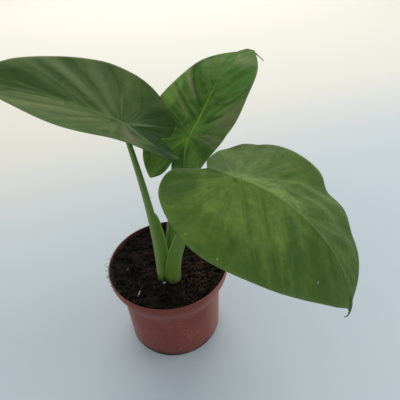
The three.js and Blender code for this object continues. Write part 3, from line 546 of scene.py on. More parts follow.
def blade_material(name, look, underside=False):
    """Leaf skin, from the flat place of each point and its distances to the veins, in millimetres."""
    m = Look(name)
    flat = m.attribute("flat")
    along, across, row = m.split(flat)
    vein_gap, midrib_gap, costa_gap = m.split(m.attribute("vein"))
    fan = m.attribute("fan")

    def fan_noise(off_veins, up_veins, distortion=0.0):
        """Noise that is drawn out along the side veins."""
        drawn_out = m.scaled(fan, (off_veins, up_veins, 0.0))
        return m.noise(drawn_out, 1.0, 3.0, flat=True, distortion=distortion)

    # Soft blotches, streaks that follow the side veins, and painted light across the middle of each space
    # between two veins, where the puffed blade catches the light
    broad = m.noise(flat, 0.035, 3.0, flat=True, distortion=0.5)
    cloud = m.noise(flat, 0.13, 4.0, flat=True, distortion=0.4)
    grain = m.noise(flat, 0.9, 3.0, flat=True)
    streak = fan_noise(2.6, 1.5, 0.3)
    off_midrib = m.ramp(row, 0.0, 0.3)
    colour = m.tint(look["dark"], look["middle"], broad, 0.32, 0.68)
    colour = m.mix(m.times(m.ramp(streak, 0.38, 0.68), off_midrib), colour, look["middle"])
    colour = m.tint(colour, look["light"], fan_noise(3.6, 4.5, 0.6), 0.4, 0.7, look["blotch"])
    wave = m.math("ABSOLUTE", m.math("SINE", m.times(m.split(fan)[0], np.pi)))
    painted_light_band = m.times(m.ramp(wave, 0.3, 0.95, 0.0, look["painted_light_band"]), off_midrib)
    colour = m.mix(m.times(painted_light_band, m.ramp(streak, 0.3, 0.6, 0.5, 1.0)), colour, look["light"])
    colour = m.tint(colour, look["dark"], grain, 0.3, 0.75, 0.2)
    # Patches paint the blade's own tone, and also painted shade on the lobes and painted light over lit
    # parts.
    for centre, radii, patch, strength in look["patches"]:
        dx = m.math("DIVIDE", m.math("SUBTRACT", along, centre[0]), radii[0])
        dy = m.math("DIVIDE", m.math("SUBTRACT", across, centre[1]), radii[1])
        square = m.math("ADD", m.times(dx, dx), m.times(dy, dy))
        colour = m.tint(colour, patch, m.uneven(square, cloud, 0.8), 1.0, 0.25, strength)
    # The strokes' paint holds painted light, shade and sheen along the side veins, as well as the blade's
    # own tone.
    if not underside:
        share = m.split(m.attribute("paint_share"))[0]
        share = m.times(share, m.ramp(cloud, 0.3, 0.6, 0.75, 1.0))
        colour = m.mix(share, colour, m.attribute("paint"))
    mottle = m.times(m.noise(flat, 0.22, 5.0, flat=True), 0.5)
    mottle = m.math("ADD", mottle, m.times(fan_noise(7.0, 5.0), 0.5))
    colour = m.tint(colour, look["dark"], mottle, 0.4, 0.62, look["mottle"])

    # Painted shade darkens the blade beside each vein, where it dips, and fine side veins cross it
    painted_trough_shade = m.times(m.ramp(vein_gap, 4.5, 0.8), m.fall(row, 0.1, 1.0, look["painted_trough_shade"]))
    colour = m.mix(m.times(painted_trough_shade, off_midrib), colour, look["dark"])
    net = m.ramp(m.cell_borders(flat, 0.42), 0.09, 0.0)
    colour = m.mix(m.times(net, 0.16), colour, look["vein"])

    # The side veins, the lobes' main veins and the midrib
    lateral = m.line(vein_gap, m.fall(row, 0.0, 1.0, look["vein_width"], 0.35), 0.3)
    seen = m.times(m.ramp(row, 0.1, 0.9, look["vein_strength"], 0.1), m.ramp(streak, 0.35, 0.65, 0.35, 1.0))
    colour = m.mix(m.times(lateral, seen), colour, look["vein"])
    costa = m.line(costa_gap, m.fall(row, 0.0, 0.8, look["costa_width"]), 0.45)
    costa = m.times(costa, m.ramp(row, 0.2, 0.85, look["costa_strength"], 0.1))
    colour = m.mix(costa, colour, look["costa"])
    rib = m.line(midrib_gap, m.fall(along, -5.0, 120.0, look["midrib_width"]), 0.5)
    rib = m.times(rib, m.ramp(along, 5.0, 85.0, 1.0, look["midrib_end"]))
    colour = m.mix(rib, colour, look["midrib"])

    normal = m.bump(m.noise(flat, 2.2, 4.0, flat=True), 0.0002, 0.3)
    normal = m.bump(net, 0.0003, 0.3 if underside else -0.25, normal)
    normal = m.bump(cloud, 0.0016, 0.35, normal)
    roughness = m.ramp(cloud, 0.3, 0.7, *look["roughness"])
    skin = m.surface(colour, roughness, normal, Specular_IOR_Level=look["gloss"])
    glow = m.node("BsdfTranslucent", {"Color": m.mix(0.5, colour, (0.17, 0.34, 0.02)), "Normal": normal})
    mixed = m.node("MixShader", {0: 0.34 if underside else look["glow"], 1: skin, 2: glow.outputs[0]})
    return m.finish(mixed.outputs[0])


def petiole_material(name, painted_lit_back):
    """Fleshy stalk: yellower at the soil, stained and painted with contact shade there, painted lighter on
    its back as if lit from that side, painted darker in shade by the sheath, with fine lengthwise lines and
    a pale sheath edge."""
    m = Look(name)
    height, turn, wing = m.split(m.attribute("stalk"))
    streaks = m.node("CombineXYZ", {0: m.times(turn, 26.0), 1: m.times(height, 0.018)})
    lines = m.noise(streaks.outputs[0], 1.0, 4.0, flat=True)
    spots = m.noise(m.place(), 260.0, 3.0)
    colour = m.tint(STALK_TINTS["base"], STALK_TINTS["top"], height, 0.0, 95.0)
    colour = m.tint(colour, STALK_TINTS["edge"], lines, 0.35, 0.7, 0.55)
    colour = m.tint(colour, STALK_TINTS["top"], spots, 0.45, 0.75, 0.25)
    colour = m.tint(colour, STALK_TINTS["shaded"], turn, 1.3, 0.3, 0.4)
    # Painted light: the stalk's back is paler, as if lit from that side.
    colour = m.tint(colour, STALK_TINTS["pale"], turn, 1.2, 2.8, painted_lit_back)
    colour = m.tint(colour, STALK_TINTS["edge"], wing, 0.55, 0.95, 0.7)
    # Soil stain and painted contact shade darken the stalk's foot.
    colour = m.tint(colour, STALK_TINTS["soiled_and_shaded"], m.uneven(height, spots, 14.0), 13.0, 3.0, 0.9)
    roughness = m.ramp(spots, 0.3, 0.7, 0.42, 0.55)
    return m.finish(m.surface(colour, roughness, m.bump(lines, 0.0007, 0.3), Specular_IOR_Level=0.3))


def pot_material():
    """Thin moulded plastic in a terracotta brown, with faint flow marks, scuffs and dust, and a painted
    highlight on its left and right sides.
    """
    m = Look("pot_plastic")
    place = m.place()
    x, _, z = m.split(place)
    mottle = m.noise(place, 28.0, 4.0)
    fine = m.noise(place, 420.0, 3.0)
    flow = m.noise(m.scaled(place, (1.0, 1.0, 0.16)), 90.0, 3.0)
    rings = m.noise(m.scaled(place, (0.05, 0.05, 1.0)), 420.0, 2.0)
    colour = m.tint(POT_TINTS["plain"], POT_TINTS["mottled"], mottle, 0.3, 0.7)
    colour = m.tint(colour, POT_TINTS["flow"], flow, 0.45, 0.75, 0.55)
    dust = m.times(m.ramp(fine, 0.5, 0.7), m.ramp(mottle, 0.4, 0.75, 0.1, 0.4))
    colour = m.mix(dust, colour, POT_TINTS["dust"])
    # The pot darkens towards the bottom of its foot, most in its last few millimetres.
    colour = m.tint(colour, POT_TINTS["foot"], z, 0.012, 0.0, 0.35)
    # Painted highlight: the left and right sides are paler, for the light that glances off them.
    colour = m.tint(colour, POT_TINTS["sides"], m.math("ABSOLUTE", x), 0.03, 0.052, 0.58)
    colour = m.tint(colour, POT_TINTS["foot_dark"], m.uneven(z, mottle, 0.02), 0.0045, 0.001, 0.85)

    # The inner wall is darkened nearly to the peat's colour
    level = m.scaled(place, (1.0, 1.0, 0.0))
    radius = m.node("VectorMath", {0: level}, operation="LENGTH").outputs["Value"]
    slope = pot_inner_radius(1) - pot_inner_radius(0)
    body = m.math("ADD", m.times(z, slope), pot_inner_radius(0) * MM)
    flare_rise = (POT["rim_radius"] - POT["body_top_radius"]) * MM
    flare = m.ramp(z, POT["flare_from"] * MM, POT["flare_to"] * MM, 0.0, flare_rise)
    depth = m.math("SUBTRACT", radius, m.math("ADD", body, flare))
    inner_wall_dark = m.times(m.ramp(depth, 0.0007, 0.0003), m.ramp(mottle, 0.3, 0.7, 0.75, 0.97))
    colour = m.mix(inner_wall_dark, colour, POT_TINTS["peat"])
    normal = m.bump(rings, 0.00012, 0.5)
    normal = m.bump(fine, 0.00008, 0.6, normal)
    roughness = m.ramp(mottle, 0.3, 0.7, 0.55, 0.65)
    sheen = {"Sheen_Weight": 0.1, "Sheen_Roughness": 0.35, "Sheen_Tint": (1.0, 0.78, 0.72, 1.0)}
    return m.finish(m.surface(colour, roughness, normal, Specular_IOR_Level=0.22, **sheen))


def soil_material(name, dark, brown, share):
    """Moist peat: nearly black, with browner fibrous patches."""
    m = Look(name)
    place = m.place()
    patches = m.noise(place, 70.0, 4.0)
    grit = m.noise(place, 650.0, 4.0)
    colour = m.tint(dark, brown, patches, 0.42, 0.75, share)
    colour = m.tint(colour, brown, grit, 0.55, 0.8, 0.5)
    normal = m.bump(patches, 0.003, 0.5, m.bump(grit, 0.0012, 0.9))
    return m.finish(m.surface(colour, m.ramp(grit, 0.3, 0.7, 0.78, 1.0), normal, Specular_IOR_Level=0.12))


def fibre_material(name, colour, pale):
    """Dry root hair, lighter and darker along its length."""
    m = Look(name)
    shade = m.noise(m.place(), 180.0, 3.0)
    tint = m.tint(colour, pale, shade, 0.35, 0.7)
    return m.finish(m.surface(tint, m.ramp(shade, 0.3, 0.7, 0.7, 0.9), m.bump(shade, 0.0004, 0.4)))


def crown_material():
    """Short stem with the scars of old stalks."""
    m = Look("crown_bark")
    place = m.place()
    bands = m.noise(m.scaled(place, (0.1, 0.1, 1.0)), 300.0, 3.0)
    skin = m.noise(place, 240.0, 4.0)
    colour = m.tint((0.16, 0.13, 0.05), (0.3, 0.27, 0.12), bands, 0.4, 0.65)
    colour = m.tint(colour, (0.07, 0.045, 0.02), skin, 0.45, 0.75, 0.6)
    return m.finish(m.surface(colour, m.ramp(skin, 0.3, 0.7, 0.6, 0.8), m.bump(skin, 0.001, 0.6)))


# Pot

def pot_outer_radius(z):
    """The wall rises almost upright and flares out to the rim."""
    share = min(max((z - POT["flare_from"]) / (POT["flare_to"] - POT["flare_from"]), 0), 1)
    body = POT["foot_radius"] + (POT["body_top_radius"] - POT["foot_radius"]) * z / POT["height"]
    return body + (POT["rim_radius"] - POT["body_top_radius"]) * share * share * (3 - 2 * share)


def pot_inner_radius(z):
    return pot_outer_radius(z) - POT["wall"]


def flare_heights(top):
    """Heights of the rings of the flare, up to a height."""
    heights = np.linspace(POT["flare_from"], POT["flare_to"], POT["flare_rings"] + 1)
    return [float(z) for z in heights if z < top]


def pot_profile():
    """The pot's section, from the middle of its underside round the outside to its floor's middle."""
    floor = POT["floor_height"]
    recess = floor - POT["floor_thickness"]
    ring_inside = POT["foot_radius"] - POT["foot_ring_width"]
    ease = POT["foot_ease"]
    lip = POT["lip_round"]
    half_wall = POT["wall"] / 2
    wall_top = POT["height"] - 2 * lip
    corner = POT["floor_corner"]
    wall_foot = pot_inner_radius(floor + corner)
    flare = flare_heights(POT["height"])
    return [
        (0, 0),
        (POT["foot_pad_radius"], 0),
        (POT["foot_pad_radius"] + ease, recess),
        (ring_inside, recess),
        (ring_inside + ease, 0),
        *arc((POT["foot_radius"] - lip, lip), lip, -90, 0, 6),
        *((pot_outer_radius(z), z) for z in flare),
        *arc((POT["rim_radius"] - half_wall, POT["height"] - half_wall), half_wall, 0, 180, 10),
        (pot_inner_radius(wall_top), wall_top),
        *((pot_inner_radius(z), z) for z in reversed(flare)),
        (wall_foot, floor + corner),
        (wall_foot - corner / 3, floor + corner / 3),
        (wall_foot - corner, floor),
        (0, floor),
    ]


def drain_cutter():
    """An upright cylinder through the floor for each drain hole."""
    radius = POT["drain_radius"]
    profile = [(0, -5), (radius, -5), (radius, 15), (0, 15)]
    pins = []
    for i in range(POT["drain_holes"]):
        turn = 2 * np.pi * (i + 0.5) / POT["drain_holes"]
        points, faces = lathe(profile, POT["drain_sides"])
        centre = (POT["drain_circle"] * np.cos(turn), POT["drain_circle"] * np.sin(turn), 0)
        pins.append((np.array(points) + centre, faces))
    return new_object("drain_cutter", new_mesh("drain_cutter", *joined(pins)))


def settle_modifiers(piece):
    """Makes a piece's modifiers part of its mesh, and joins points that lie in one place."""
    graph = bpy.context.evaluated_depsgraph_get()
    settled = bpy.data.meshes.new_from_object(piece.evaluated_get(graph))
    welded = bmesh.new()
    welded.from_mesh(settled)
    bmesh.ops.remove_doubles(welded, verts=welded.verts, dist=JOIN_WITHIN * MM)
    welded.to_mesh(settled)
    welded.free()
    piece.modifiers.clear()
    piece.data = settled


def make_pot():
    points, faces = lathe(pot_profile(), POT["sides"])
    pot = make_piece("pot_shell", points, faces, pot_material())
    cutter = drain_cutter()
    holes = pot.modifiers.new("drain holes", "BOOLEAN")
    holes.operation = "DIFFERENCE"
    holes.object = cutter
    settle_modifiers(pot)
    bpy.data.objects.remove(cutter)
    pot.data.set_sharp_from_angle(angle=np.radians(40))
    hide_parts("pot")


# Soil

def soil_height(x, y):
    """The packed soil's own low lumps."""
    coarse = np.sin(0.16 * x + 1.1) * np.cos(0.19 * y - 0.4)
    fine = np.sin(0.43 * x - 0.7 * y) * np.cos(0.37 * y + 0.21 * x)
    return SOIL["level"] + SOIL["lump"] * (coarse + 0.6 * fine)


def crumbly(x, y):
    """Clods and crumbs on top of the lumps, a mound on the left, and a bank against the wall there."""
    clods = noise.fractal(Vector((x * 0.11, y * 0.11, 3.0)), 0.9, 2.1, 4)
    lumps = abs(noise.noise(Vector((x * 0.2, y * 0.2, 5.0))))
    crumbs = abs(noise.noise(Vector((x * 0.45, y * 0.45, 8.0))))
    mound = MOUND["height"] * bell(np.hypot(x - MOUND["place"][0], y - MOUND["place"][1]), MOUND["width"])
    radius = np.hypot(x, y)
    bank = BANK["height"] * np.clip((radius - BANK["from"]) / BANK["width"], 0, 1)
    bank *= np.clip(0.35 - 0.9 * x / max(radius, 1), 0, 1)
    return 1.5 * clods + 2.4 * lumps + 1.1 * crumbs + float(mound) + float(bank) - 0.8


def soil_top(x, y):
    return float(soil_height(x, y)) + crumbly(x, y)


def make_soil():
    bottom = POT["floor_height"] + SOIL["gap"]
    edge_height = SOIL["level"] - SOIL["edge_drop"]
    edge = pot_inner_radius(edge_height) - SOIL["gap"]
    circle = circle_of(SOIL["sides"])
    points = []

    def ring(radius, height=None):
        for x, y in radius * circle:
            points.append((x, y, soil_top(x, y) if height is None else height))

    def ring_by_wall(height):
        ring(pot_inner_radius(height) - SOIL["gap"], height)

    ring(pot_inner_radius(bottom) - SOIL["gap"] - SOIL["chamfer"], bottom)
    ring_by_wall(bottom + SOIL["chamfer_height"])
    for height in (*flare_heights(edge_height), edge_height):
        ring_by_wall(height)
    for i in range(SOIL["rings"]):
        ring(edge * (1 - i / SOIL["rings"]))
    faces = close_on_axis(points, SOIL["sides"], bottom, soil_top(0, 0))
    soil = make_piece("peat", points, faces, soil_material("peat", *PEAT))
    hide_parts("soil")


def icosahedron():
    """Corners and faces of a 20-sided ball of radius 1."""
    golden = (1 + 5 ** 0.5) / 2
    corners = []
    for a in (-1, 1):
        for b in (-golden, golden):
            corners.extend([(0, a, b), (a, b, 0), (b, 0, a)])
    corners = np.array(corners) / np.sqrt(1 + golden ** 2)
    longest_side = 1.1
    faces = []
    for i, j, k in combinations(range(len(corners)), 3):
        trio = corners[[i, j, k]]
        sides = np.linalg.norm(trio - np.roll(trio, 1, 0), axis=1)
        if sides.max() < longest_side:
            outward = np.dot(np.cross(trio[1] - trio[0], trio[2] - trio[0]), trio.sum(0))
            faces.append((i, j, k) if outward > 0 else (i, k, j))
    return corners, faces


def scatter(name, random, count, sizes, material, centre=None, spread=None):
    """Irregular grains that lie on the soil."""
    ball, ball_faces = icosahedron()
    reach = pot_inner_radius(SOIL["level"]) - GRAINS["off_wall"]
    grains = []
    while len(grains) < count:
        if centre is None:
            angle = random.uniform(0, 2 * np.pi)
            radius = reach * np.sqrt(random.uniform())
            x = radius * np.cos(angle)
            y = radius * np.sin(angle)
        else:
            x, y = random.normal(centre, spread)
        size = sizes[0] + (sizes[1] - sizes[0]) * random.uniform() ** 3
        shape = size * (1 + GRAINS["uneven"] * random.normal(size=(len(ball), 1)).clip(-1, 1)) * ball
        shape = shape * (1, random.uniform(0.5, 1), GRAINS["flattened"] * random.uniform(0.5, 1))
        turn = random.uniform(0, 2 * np.pi)
        if x * x + y * y > reach * reach:
            continue
        swing = np.array([(np.cos(turn), np.sin(turn), 0), (-np.sin(turn), np.cos(turn), 0), (0, 0, 1)])
        grains.append((shape @ swing + (x, y, soil_top(x, y) + GRAINS["raised"] * size), ball_faces))
    piece = make_piece(name, *joined(grains), material, smooth=False)


def tube(path, radii, sides=5):
    """Points and faces of a thin tube along a path, closed at both ends."""
    path = np.asarray(path, dtype=float)
    along = np.gradient(path, axis=0)
    along /= np.linalg.norm(along, axis=1, keepdims=True)
    points = []
    for centre, direction, radius in zip(path, along, radii):
        first = np.cross(direction, (0.3, 0.2, 1.0))
        first /= np.linalg.norm(first)
        second = np.cross(direction, first)
        points.extend(centre + radius * (x * first + y * second) for x, y in circle_of(sides))
    return points, capped_rings(len(path), sides)


def make_fibres(name, strands, material):
    """Joins strands, each a path with its radii, in one piece."""
    points, faces = joined(tube(path, radii) for path, radii in strands)
    piece = make_piece(name, points, faces, material)


def lying_strand(random, centre, spread, lengths, radii):
    """A curled fibre that lies on the soil, half sunk here and there."""
    step = random.uniform(*lengths) / (STRAND_POINTS - 1)
    radius = random.uniform(*radii)
    x, y = random.normal(centre, spread)
    heading = random.uniform(0, 2 * np.pi)
    bend = random.normal(0, 0.35)
    path = []
    for _ in range(STRAND_POINTS):
        path.append((x, y, soil_top(x, y) + radius + 0.5 * random.uniform(-0.6, 1.2)))
        x += step * np.cos(heading)
        y += step * np.sin(heading)
        heading += bend + random.normal(0, 0.25)
    return path, radius * np.linspace(1, 0.45, STRAND_POINTS)


def pale_bit(start, end, radius):
    """A pale splinter on the soil from one place to another, thickest in the middle."""
    path = []
    for t in (0, 0.5, 1):
        x = start[0] + (end[0] - start[0]) * t
        y = start[1] + (end[1] - start[1]) * t
        path.append((x, y, soil_top(x, y) + 1.2 * radius + 0.6))
    return path, (0.6 * radius, radius, 0.7 * radius)


def rim_strand(random):
    """A hair of peat that hangs out over the left of the rim."""
    angle = np.radians(random.normal(*RIM_HAIR["heading"]))
    out = random.uniform(*RIM_HAIR["out"])
    lift = random.uniform(*RIM_HAIR["lift"])
    swing = random.normal(0, RIM_HAIR["swing"])
    start = POT["rim_radius"] - POT["wall"] - RIM_HAIR["inside"]
    rise = POT["height"] - SOIL["level"] + RIM_HAIR["over_rim"]
    path = []
    for share in np.linspace(0, 1, STRAND_POINTS):
        radius = start + (RIM_HAIR["inside"] + out) * share
        height = SOIL["level"] + RIM_HAIR["start"] + rise * np.sin(np.pi * min(share * 1.1, 0.5))
        height += lift * max(share - 0.45, 0)
        turn = angle + swing * share * share
        path.append((radius * np.cos(turn), radius * np.sin(turn), height))
    return path, RIM_HAIR["radius"] * np.linspace(1, 0.4, STRAND_POINTS)


def dress_soil():
    random = np.random.RandomState(7)
    crumb_dark = soil_material("peat_crumbs_dark", *PEAT)
    crumb_brown = soil_material("peat_crumbs_brown", (0.016, 0.009, 0.006), (0.085, 0.045, 0.02), 0.6)
    grit = soil_material("perlite", (0.12, 0.12, 0.11), (0.22, 0.22, 0.2), 0.6)
    scatter("crumbs_dark", random, 900, (0.5, 3.4), crumb_dark)
    scatter("crumbs_brown", random, 380, (0.4, 1.9), crumb_brown, RIGHT_PEAT, (15, 14))
    scatter("grit", random, 8, (0.4, 0.8), grit)

    brown = fibre_material("fibre_brown", (0.028, 0.014, 0.007), (0.17, 0.085, 0.034))
    strands = [lying_strand(random, *kind) for count, *kind in LYING_FIBRES for _ in range(count)]
    strands = [s for s in strands if max(np.hypot(x, y) for x, y, _ in s[0]) < LYING_REACH]
    make_fibres("fibres_lying", strands, brown)
    hair = fibre_material("fibre_hair", (0.02, 0.013, 0.009), (0.07, 0.045, 0.025))
    make_fibres("fibres_rim", [rim_strand(random) for _ in range(RIM_HAIR["count"])], hair)
    pale = fibre_material("fibre_pale", (0.4, 0.38, 0.32), (0.6, 0.58, 0.5))
    make_fibres("pale_bits", [pale_bit(*ends) for ends in PALE_BITS], pale)


# Blades

def leaf_axes(leaf):
    heading = np.radians(leaf["heading"])
    pitch = np.radians(leaf["pitch"])
    roll = np.radians(leaf["roll"])
    along = np.array([np.cos(heading) * np.cos(pitch), np.sin(heading) * np.cos(pitch), np.sin(pitch)])
    level = np.array([-np.sin(heading), np.cos(heading), 0])
    across = level * np.cos(roll) + np.cross(along, level) * np.sin(roll)
    return along, across, np.cross(along, across)


def midrib_course(leaf):
    """Places along the midrib with its slope, sideways turn and point there, in the blade's own axes."""
    step = 1 / BLADE["midrib_steps"]
    end = 1 + leaf["drip"]["length"]
    u = np.arange(round(-BLADE["lobe_reach"] / step), round(end / step) + 1) * step
    drip = np.clip((u - 1) / leaf["drip"]["length"], 0, 1)
    droop = leaf["tip_droop"] * np.clip((u - BLADE["droop_from"]) / (1 - BLADE["droop_from"]), 0, 1) ** 2
    bent = leaf["bend"][0] * u + leaf["bend"][1] * u * u + droop + leaf["drip"]["curl"] * drip
    slope = np.radians(np.where(u < 0, -leaf["lobe_lift"] * u, -bent))
    turn = np.radians(leaf["turn"] * np.maximum(u, 0) + leaf["drip"]["turn"] * drip)
    rise = (slope[1:] + slope[:-1]) / 2
    aim = (turn[1:] + turn[:-1]) / 2
    moves = np.stack([np.cos(rise) * np.cos(aim), np.cos(rise) * np.sin(aim), np.sin(rise)], -1)
    points = np.concatenate([np.zeros((1, 3)), np.cumsum(moves * step * leaf["length"], 0)])
    return u, slope, turn, points - points[np.argmin(abs(u))]


def place_blade(leaf, x, y, lift):
    """Points of the flat blade, x along the midrib and y to the left, raised by lift, set in space."""
    course_u, course_slope, course_turn, course = midrib_course(leaf)
    u = x / leaf["length"]
    centre = [np.interp(u, course_u, course[:, i]) for i in range(3)]
    slope = np.interp(u, course_u, course_slope)
    turn = np.interp(u, course_u, course_turn)
    behind = np.clip(-u / BLADE["lobe_cup_end"], 0, 1)
    ahead = np.clip(u, 0, 1) ** 2
    cup_change = (leaf["lobe_cup"] - leaf["cup"]) * behind + (leaf["tip_cup"] - leaf["cup"]) * ahead
    cup = np.radians(leaf["cup"] + cup_change)
    curl = np.radians(leaf["curl"]) / (sum(leaf["half_width"].values()) / 2)
    rise_angle = cup - curl * abs(y)
    out = (np.sin(cup) - np.sin(rise_angle)) / curl
    rise = (np.cos(rise_angle) - np.cos(cup)) / curl
    sideways = np.where(y < 0, -1, 1) * (out - lift * np.sin(rise_angle))
    upward = rise + lift * np.cos(rise_angle)
    twist = np.radians(leaf["twist"]) * u
    s = sideways * np.cos(twist) - upward * np.sin(twist)
    n = sideways * np.sin(twist) + upward * np.cos(twist)
    own = [
        centre[0] - s * np.sin(turn) - n * np.sin(slope) * np.cos(turn),
        centre[1] + s * np.cos(turn) - n * np.sin(slope) * np.sin(turn),
        centre[2] + n * np.cos(slope),
    ]
    return np.array(leaf["stalk_end"]) + np.stack(own, -1) @ np.array(leaf_axes(leaf))


def half_outline(leaf, side, places):
    """Points of the half outline, a smooth curve through its corners, on the flat blade."""
    length = leaf["length"]
    width = leaf["half_width"][side]
    lobe_length = leaf["lobe"][side] * length
    notch = -leaf["notch"] * length
    (tip, root), *outline = FRONT_OUTLINE
    front = [(x * length, y ** leaf["point"] * width) for x, y in outline]
    lobe = [(x * lobe_length, y * width) for x, y in LOBE_OUTLINE]
    shoulder = notch + (lobe[-1][0] - notch) * NOTCH_SHOULDER["along"]
    corners = np.array([
        ((1 + leaf["drip"]["length"]) * length, 0),
        (tip * length, root * width),
        *front,
        *lobe,
        (shoulder, NOTCH_SHOULDER["width"] * width),
        (notch, 0),
    ])
    corners = np.vstack([2 * corners[0] - corners[1], corners, 2 * corners[-1] - corners[-2]])
    i = np.minimum(places.astype(int), OUTLINE_END - 1)
    t = (places - i)[:, None]
    a, b, c, d = (corners[i + k] for k in range(4))
    bent = (2 * a - 5 * b + 4 * c - d) * t ** 2 + (3 * b - a - 3 * c + d) * t ** 3
    return 0.5 * (2 * b + (c - a) * t + bent)


def vein_list(leaf, side):
    """Each vein as its place on the midrib and on the outline, from the tip to the notch."""
    front = [(u, 1 + FIRST_VEIN_END * (1 - u) ** leaf["sweep"][side]) for u in FRONT_VEINS]
    lobe = []
    for i, place in enumerate(LOBE_VEINS):
        share = (i + 1) / (len(LOBE_VEINS) + 1)
        lobe.append((-0.5 * leaf["notch"] * share * share, place))
    return [(1 + leaf["drip"]["length"], 0), (1, 1), *front, *lobe, (-leaf["notch"], OUTLINE_END)]


def blade_columns(leaf, side):
    """Columns of the blade's grid, closer together near the veins: the vein that each follows, its
    share of the way to the next, its place on the midrib and its place on the outline."""
    veins = vein_list(leaf, side)
    columns = []
    for i in range(len(veins) - 1):
        count = BLADE["tip_columns"] if i == 0 else BLADE["columns"]
        even = np.arange(count) / count
        pull = 0 if i == 0 else BLADE["column_pull"]
        for share in even - pull * np.sin(2 * np.pi * even) / (2 * np.pi):
            u, place = (veins[i][k] + (veins[i + 1][k] - veins[i][k]) * share for k in range(2))
            columns.append((i, share, u, place))
    columns.append((len(veins) - 1, 0, *veins[-1]))
    return [np.array(values) for values in zip(*columns)]


def flat_point(leaf, side, u, place, row):
    """Flat places at parts of the way along vein-like lines, each from u on the midrib to its place
    on the outline. All the arguments may be arrays of one shape."""
    margin = half_outline(leaf, side, place.ravel()).reshape(*place.shape, 2)
    bow = BLADE["vein_bow"] * leaf["length"] * np.clip(4 * u + 0.3, 0, 1) * (u < 0.95)
    x = u * leaf["length"] + (margin[..., 0] - u * leaf["length"]) * row - bow * 4 * row * (1 - row)
    return x, margin[..., 1] * row


def line_gap(x, y, line_x, line_y):
    """Distance of each flat place from a line of points."""
    gap = np.full(x.shape, np.inf)
    for ax, ay, bx, by in zip(line_x, line_y, line_x[1:], line_y[1:]):
        dx, dy = bx - ax, by - ay
        share = np.clip(((x - ax) * dx + (y - ay) * dy) / (dx * dx + dy * dy), 0, 1)
        gap = np.minimum(gap, np.hypot(x - ax - share * dx, y - ay - share * dy))
    return gap


